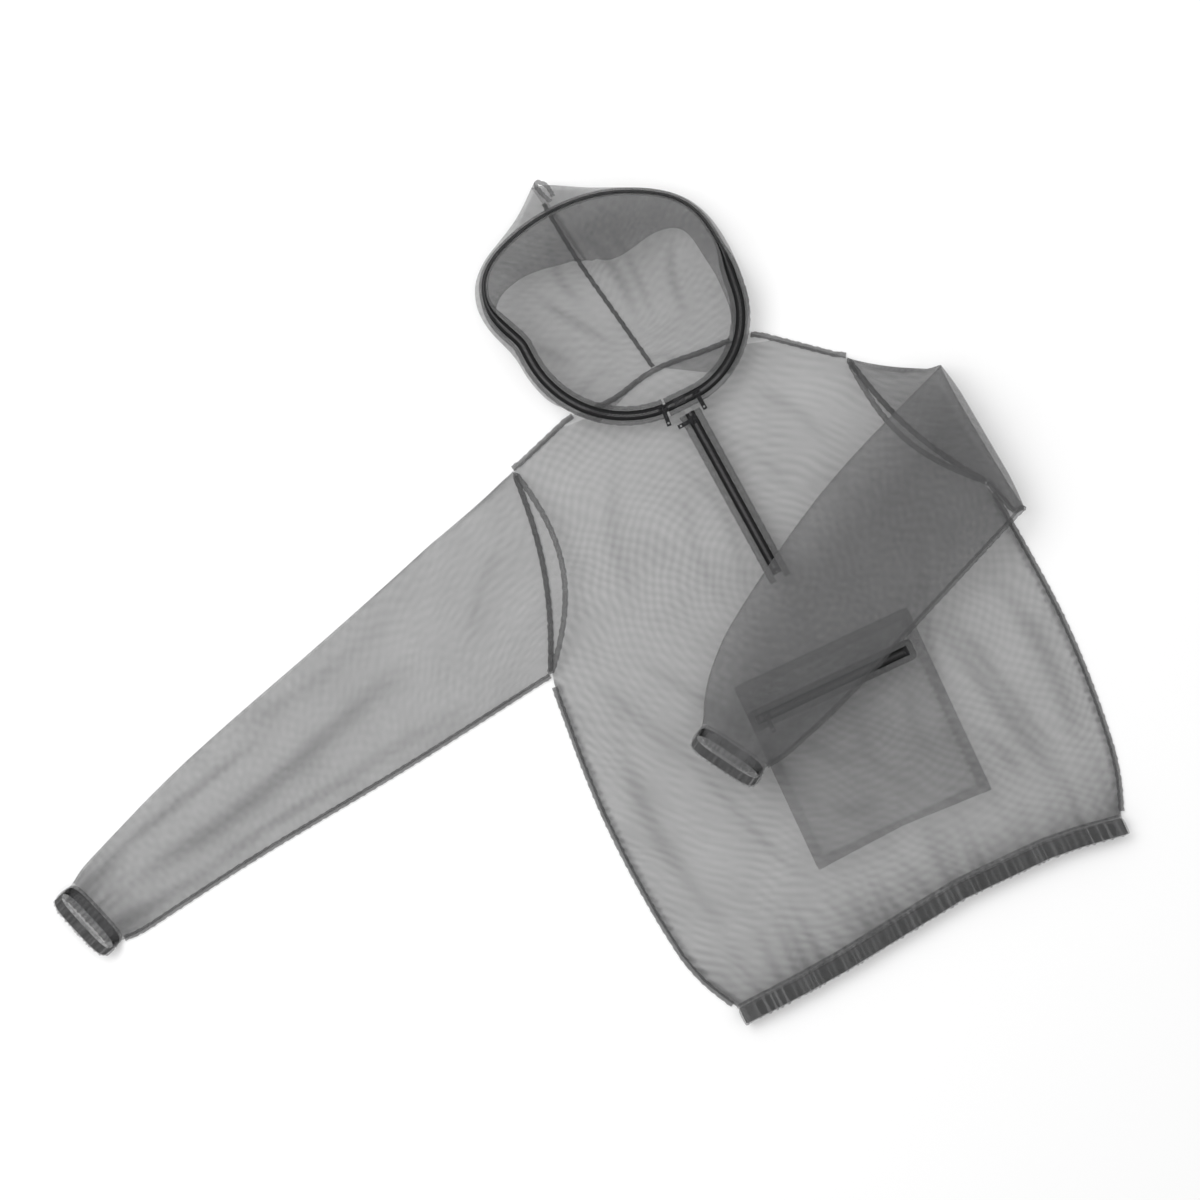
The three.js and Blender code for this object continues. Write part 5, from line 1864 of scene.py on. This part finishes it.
@dataclass(frozen=True)
class Coil:
    """One side of a zip's nylon coil: a row of teeth.

    Attributes:
        pitch: From tooth to tooth.
        near: From the zip's line to the teeth's near ends.
        far: To their far ends.
        base: Their underside, over the middle of the tape.
        top: Their top, over the middle of the tape.
    """

    pitch: float = 0.0015
    near: float = -0.0003
    far: float = 0.0034
    base: float = 0.0006
    top: float = 0.0022

    def cloth(self, line: Array, up: Array, side: int) -> Cloth:
        """Its teeth along a line.

        Args:
            line: The zip's line, at the height of the middle of the tape.
            up: The way that the zip faces.
            side: 1 for the teeth to the right of the line, -1 to its left.

        Returns:
            The teeth as one mesh.
        """
        places = even_line(line, self.pitch)
        run = run_along(line) / run_along(line)[-1]
        up = np.broadcast_to(up, line.shape)
        up = np.column_stack([np.interp(np.linspace(0, 1, len(places)), run, up[:, k]) for k in range(3)])
        ahead = np.gradient(places, axis=0)
        ahead /= np.linalg.norm(ahead, axis=1, keepdims=True)
        places = places + ahead * (self.pitch / 4 * side)
        out = np.cross(ahead, up) * side
        shape = []
        for reach, size in ((self.near, 0.5), (self.near + 0.0008, 1.0), (self.far - 0.0008, 0.9),
                            (self.far, 0.6)):
            shape.append((reach, size))
        half, middle = self.pitch * 0.36, (self.base + self.top) / 2
        tall = (self.top - self.base) / 2
        turns = [(math.cos(k * np.pi / 3), math.sin(k * np.pi / 3)) for k in range(6)]
        points, faces = [], []
        for p, a, o, u in zip(places, ahead, out, up):
            first = len(points)
            for reach, size in shape:
                for x, y in turns:
                    points.append(p + o * reach + a * (half * size * x) + u * (middle + tall * size * y))
            for k in range(len(shape) - 1):
                for i in range(6):
                    j = (i + 1) % 6
                    faces.append((first + 6 * k + i, first + 6 * k + j, first + 6 * k + 6 + j,
                                  first + 6 * k + 6 + i)[::side])
            faces.append(tuple(first + i for i in range(6))[::-side])
            faces.append(tuple(first + 6 * (len(shape) - 1) + i for i in range(6))[::side])
        made = np.array(points)
        return Cloth(made, faces, made[:, :2].copy())


@dataclass
class Zip:
    """A coil zip: two tapes and two rows of teeth along a line, with its slider and pull.

    Attributes:
        name: The CAD nodes' first words.
        sides: The CAD names of the tapes to the left and the right of the line.
        sliders: The CAD names of its sliders and their pulls, without their last word.
        keeps_tapes: Whether its tapes stay as their CAD nodes.
        coil: Its teeth.
    """

    name: str
    sides: tuple[str, str]
    sliders: tuple[str, ...]
    keeps_tapes: bool = True
    coil: Coil = Coil()

    def build(self, line: Array, up: Array) -> None:
        """Makes the teeth, and finishes the tapes, sliders and pulls that stay as they are.

        Args:
            line: The zip's line, at the height of the middle of the tape.
            up: The way that it faces.
        """
        for side, sign in zip(self.sides, (-1, 1)):
            teeth = self.coil.cloth(line, up, sign)
            piece = teeth.piece(f"{self.name}_{side}_teeth", ZIP_COIL.material())
            piece.data.shade_flat()
            place_piece(piece, Body.JACKET, ZIP_COIL, f"{self.name}_{side}_coil")
            if self.keeps_tapes:
                dress_node(f"{self.name}_{side}_tape", ZIP_TAPE)
        for slider in self.sliders:
            for part in ("slider", "pull"):
                dress_node(f"{slider}_{part}", BLACK_METAL, 0.0003)


def straight_line(node: str, direction: Point, other: str) -> Array:
    """The middle line between two straight tapes, from its start in the given direction.

    Args:
        node: One tape.
        direction: The flat direction that the zip runs in.
        other: The other tape.

    Returns:
        The line, at the height of the middle of the tapes.
    """
    both = Solid(node, other)
    line = both.centreline(direction, 12)
    line[:, 2] = (both.points[:, 2].min() + both.points[:, 2].max()) / 2
    return line


@dataclass
class ChestZip:
    """The half zip down the chest, with its two facings, chin tab and bottom stop.

    Attributes:
        facing: The strips on either side.
        facing_from: From the zip's line to their near edges.
    """

    facing: Strip = Strip(width=0.0072, thick=0.0011, pucker=0.0002)
    facing_from: float = 0.0053

    def build(self) -> None:
        """Makes the zip and its facings."""
        joint = next(j for j in frame["record"]["behaviour"]["joints"] if j["name"] == "front_zip_travel")
        down = np.array(joint["axis"][:2])
        line = straight_line("front_zip_right_tape", down, "front_zip_left_tape")
        up = np.array([0.0, 0, 1])
        chain = Zip("front_zip", ("left", "right"), ("front_zip",))
        chain.build(line[:-1] if len(line) > 12 else line, up)
        dress_node("front_zip_bottom_stop", BLACK_METAL, 0.0003)
        ahead = unit(line[-1, :2] - line[0, :2])
        side_way = np.array([*(-across(ahead)), 0])
        past = 0.008
        longer = np.vstack([line, line[-1] + np.array([*ahead, 0]) * past])
        for side, sign in (("right", 1), ("left", -1)):
            away = side_way * sign * (self.facing_from + self.facing.width / 2)
            strip = self.facing.cloth(longer + away + (0, 0, 0.0011))
            strip.density += 0.25
            place_piece(strip.piece(f"front_zip_{side}_facing_strip", BINDING_NET.material()), Body.JACKET,
                        BINDING_NET, f"front_zip_{side}_facing")
            for row in (0.0011, self.facing.width - 0.0011):
                place = side_way * sign * (self.facing_from + row)
                stitches = Stitching().cloth(longer + place + (0, 0, 0.0018))
                place_piece(stitches.piece(f"front_zip_{side}_stitches_{round(row * 1e4)}",
                                           BINDING_NET.material()), Body.JACKET, BINDING_NET)
        low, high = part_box("chin_tab")
        tab = np.array([[low.x, (low.y + high.y) / 2, high.z], [high.x, (low.y + high.y) / 2, high.z]])
        strip = Strip(width=(high.y - low.y), thick=0.0012).cloth(tab)
        strip.density += 0.5
        place_piece(strip.piece("chin_tab_strip", BINDING_NET.material()), Body.JACKET, BINDING_NET, "chin_tab")


@dataclass
class Pocket:
    """The pouch on the belly, with the zip across it.

    Attributes:
        spacing: From point to point of its net.
        hem: Width of the turned-in hem round it.
        bow: How far the lower edge is pushed up at its middle.
        facing: The strip round its zip.
        facing_from: From the zip's line to that strip.
    """

    spacing: float = 0.0042
    hem: float = 0.0125
    bow: float = 0.006
    facing: Strip = Strip(width=0.0066, thick=0.0011, pucker=0.0002)
    facing_from: float = 0.0053
    folds: tuple[Crease, ...] = (
        Crease(((-0.050, -0.17), (-0.020, -0.21), (0.020, -0.205)), 0.002, 0.008, 0.25),
        Crease(((0.020, -0.17), (0.012, -0.22), (0.035, -0.27)), 0.002, 0.008, 0.25),
        Crease(((0.085, -0.16), (0.070, -0.21), (0.080, -0.27)), 0.002, 0.007, 0.2),
        Crease(((-0.060, -0.25), (-0.020, -0.27), (0.010, -0.26)), 0.002, 0.007, 0.2),
    )

    def build(self) -> None:
        """Makes the pouch, its hem, its zip and its stops."""
        solid = Solid("pocket_panel")
        outline = grown(solid.outline(), 0.0012)
        low, high = outline.min(0), outline.max(0)
        share = (outline - low) / (high - low)
        outline = outline + np.column_stack([np.zeros(len(outline)),
                                             self.bow * np.sin(np.pi * share[:, 0]) * (1 - share[:, 1])])
        cloth = cut_cloth(outline, self.spacing)
        places = cloth.points[:, :2]
        cloth.points[:, 2] = solid.height(places) - HALF_CLOTH
        cloth.settle(8)
        away = np.min(np.column_stack([places - low, high - places]), axis=1)
        cloth.density += 1.1 * np.clip((self.hem - away) / 0.001 + 0.5, 0, 1)
        cloth.wave(0.0009, 0.05, SEED + 4)
        cloth.fold(self.folds)
        cloth.thicken_on_slopes(0.3)
        piece = place_piece(cloth.piece("pocket_net", POUCH_NET.material()), Body.JACKET, POUCH_NET,
                            "pocket_panel")
        wide, long = (high - low) * 1.03
        min(cloth.cut_area(), wide * long)
        up = np.array([0.0, 0, 1])
        line = straight_line("pocket_zip_lower_tape", (1, 0), "pocket_zip_upper_tape")
        Zip("pocket_zip", ("upper", "lower"), ("pocket_zip",)).build(line, up)
        for side in ("right", "left"):
            dress_node(f"pocket_zip_{side}_stop", BLACK_METAL, 0.0003)
        self.frame_strip(line)

    def frame_strip(self, line: Array) -> None:
        """The strip that runs round the zip, with a row of stitches at each edge."""
        half = self.facing_from + self.facing.width / 2
        _, y0, z0 = line[0]
        low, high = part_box("pocket_zip_facing")
        over = self.facing.width / 2
        corners = [(low.x + over, y0 - half), (high.x - over, y0 - half),
                   (high.x - over, y0 + half), (low.x + over, y0 + half)]
        ring = []
        for a, b in zip(corners, corners[1:] + corners[:1]):
            ring += [np.array(a) + (np.array(b) - np.array(a)) * t for t in np.linspace(0.02, 0.98, 40)]
        loop = np.column_stack([np.array(ring), np.full(len(ring), z0 + 0.0011)])
        strip = self.facing.cloth(loop, closed=True)
        strip.density += 0.3
        place_piece(strip.piece("pocket_zip_facing_strip", BINDING_NET.material()), Body.JACKET, BINDING_NET,
                    "pocket_zip_facing")
        middle = loop.mean(0)
        stitches = Stitching().cloth(middle + (loop - middle) * (1.01, 1.22, 1) + (0, 0, 0.0007))
        place_piece(stitches.piece("pocket_zip_stitches", BINDING_NET.material()), Body.JACKET, BINDING_NET)


# ---------------------------------------------------------------- the stage


@dataclass
class Stage:
    """A pale floor, soft light and a camera straight above.

    Attributes:
        turn: How far the jacket is turned in the picture, clockwise, in degrees.
        height: Of the camera over the floor.
        field: Width of floor that the picture takes in.
        offset: From the middle of the jacket's box to the middle of the picture.
    """

    turn: float = -25.0
    height: float = 3.0
    field: float = 1.32
    offset: tuple[float, float] = (0.114, 0.0213)
    floor_size: float = 14.0

    def build(self) -> None:
        """Makes the floor, the lights and the camera."""
        scene = bpy.context.scene
        mesh = bpy.data.meshes.new("floor")
        h = self.floor_size / 2
        mesh.from_pydata([(-h, -h, -0.0004), (h, -h, -0.0004), (h, h, -0.0004), (-h, h, -0.0004)], [],
                         [(0, 1, 2, 3)])
        material = bpy.data.materials.new("pale_floor")
        material.use_nodes = True
        shader = material.node_tree.nodes["Principled BSDF"]
        shader.inputs["Base Color"].default_value = (0.95, 0.95, 0.95, 1)
        shader.inputs["Roughness"].default_value = 0.9
        shader.inputs["Specular IOR Level"].default_value = 0.1
        mesh.materials.append(material)
        floor = bpy.data.objects.new("floor", mesh)
        scene.collection.objects.link(floor)
        world = bpy.data.worlds.new("soft_light")
        scene.world = world
        world.use_nodes = True
        background = world.node_tree.nodes["Background"]
        background.inputs["Color"].default_value = (1, 1, 1, 1)
        background.inputs["Strength"].default_value = 0.82
        lamp_data = bpy.data.lights.new("soft_box", "AREA")
        lamp_data.shape, lamp_data.size, lamp_data.size_y = "RECTANGLE", 2.6, 1.8
        lamp_data.energy = 48
        lamp = bpy.data.objects.new("soft_box", lamp_data)
        scene.collection.objects.link(lamp)
        lamp.location = (-1.3, 1.7, 2.4)
        lamp.rotation_euler = (Vector((-0.2, 0, 0)) - lamp.location).to_track_quat("-Z", "Y").to_euler()
        scene.view_settings.view_transform = "Standard"
        scene.cycles.transparent_max_bounces = 48
        low, high = CAD_BOX
        middle = (low + high) / 2
        data = bpy.data.cameras.new("camera")
        camera = bpy.data.objects.new("camera", data)
        scene.collection.objects.link(camera)
        data.sensor_width = 36
        data.lens = data.sensor_width * self.height / self.field
        camera.location = (middle.x + self.offset[0], middle.y + self.offset[1], self.height)
        camera.rotation_euler = (0, 0, math.radians(self.turn))
        scene.camera = camera


def main() -> None:
    """Builds the jacket's pieces in order, then the stage."""
    logging.basicConfig(level=logging.INFO, format="%(name)s: %(message)s")
    torso = Torso()
    torso.build()
    RightSleeve("right", SLEEVE_NET, torso, creases=RIGHT_FOLDS, under=RIGHT_UNDER).build()
    LeftSleeve("left", FOLDED_NET, torso, creases=LEFT_FOLDS, under=()).build()
    Band("hem", Body.JACKET, Gathers(spacing=0.0085, width=0.0019), height=0.0028).build()
    Band("right_cuff", Body.RIGHT_SLEEVE,
         Gathers(spacing=0.0058, width=0.0014, seed=5), lower_run=0.006).build()
    Band("left_cuff", Body.LEFT_SLEEVE,
         Gathers(spacing=0.0058, width=0.0014, seed=8), lower_run=0.006).build()
    ring = Ring()
    hood = Hood()
    hood.build(ring)
    Veil().build(ring, hood.binding_from + 0.001)
    Zip("hood_zip", ("outer", "inner"), ("hood_zip_right", "hood_zip_left"), keeps_tapes=False).build(
        ring.beside(0), ring.normals())
    ring.tapes(Strip(width=0.0041, thick=0.0008, pucker=0))
    ChestZip().build()
    Pocket().build()
    Stage().build()


RIGHT_FOLDS = (
    Crease(((-0.828, -0.018), (-0.74, 0.000), (-0.64, 0.016), (-0.50, 0.055), (-0.36, 0.098)), 0.005, 0.008, 0.75),
    Crease(((-0.830, 0.012), (-0.750, 0.040), (-0.690, 0.056)), 0.003, 0.004, 0.5, True),
    Crease(((-0.815, -0.042), (-0.700, -0.030), (-0.620, -0.020)), 0.004, 0.006, 0.6, True),
    Crease(((-0.62, 0.092), (-0.50, 0.110), (-0.38, 0.140)), 0.003, 0.006, 0.25),
    Crease(((-0.58, -0.010), (-0.46, 0.005), (-0.34, 0.020)), 0.003, 0.006, 0.25),
    Crease(((-0.245, 0.165), (-0.300, 0.120), (-0.340, 0.060)), 0.003, 0.006, 0.25),
)
RIGHT_UNDER = (
    Crease(((-0.79, 0.030), (-0.66, 0.060), (-0.56, 0.085)), 0.001, 0.005, 0.35),
    Crease(((-0.72, -0.030), (-0.60, -0.012), (-0.48, 0.000)), 0.001, 0.005, 0.3),
)
LEFT_FOLDS = (
    Crease(((-0.120, -0.162), (-0.050, -0.146), (0.030, -0.137), (0.110, -0.108)), 0.004, 0.005, 0.45, True),
    Crease(((-0.135, -0.130), (-0.060, -0.095), (0.020, -0.060)), 0.003, 0.006, 0.3, True),
    Crease(((0.262, 0.100), (0.200, 0.060), (0.130, 0.020), (0.060, -0.010)), 0.004, 0.009, 0.25),
    Crease(((0.272, -0.010), (0.210, -0.025), (0.150, -0.060)), 0.003, 0.006, 0.35),
)


if __name__ == "__main__":
    main()
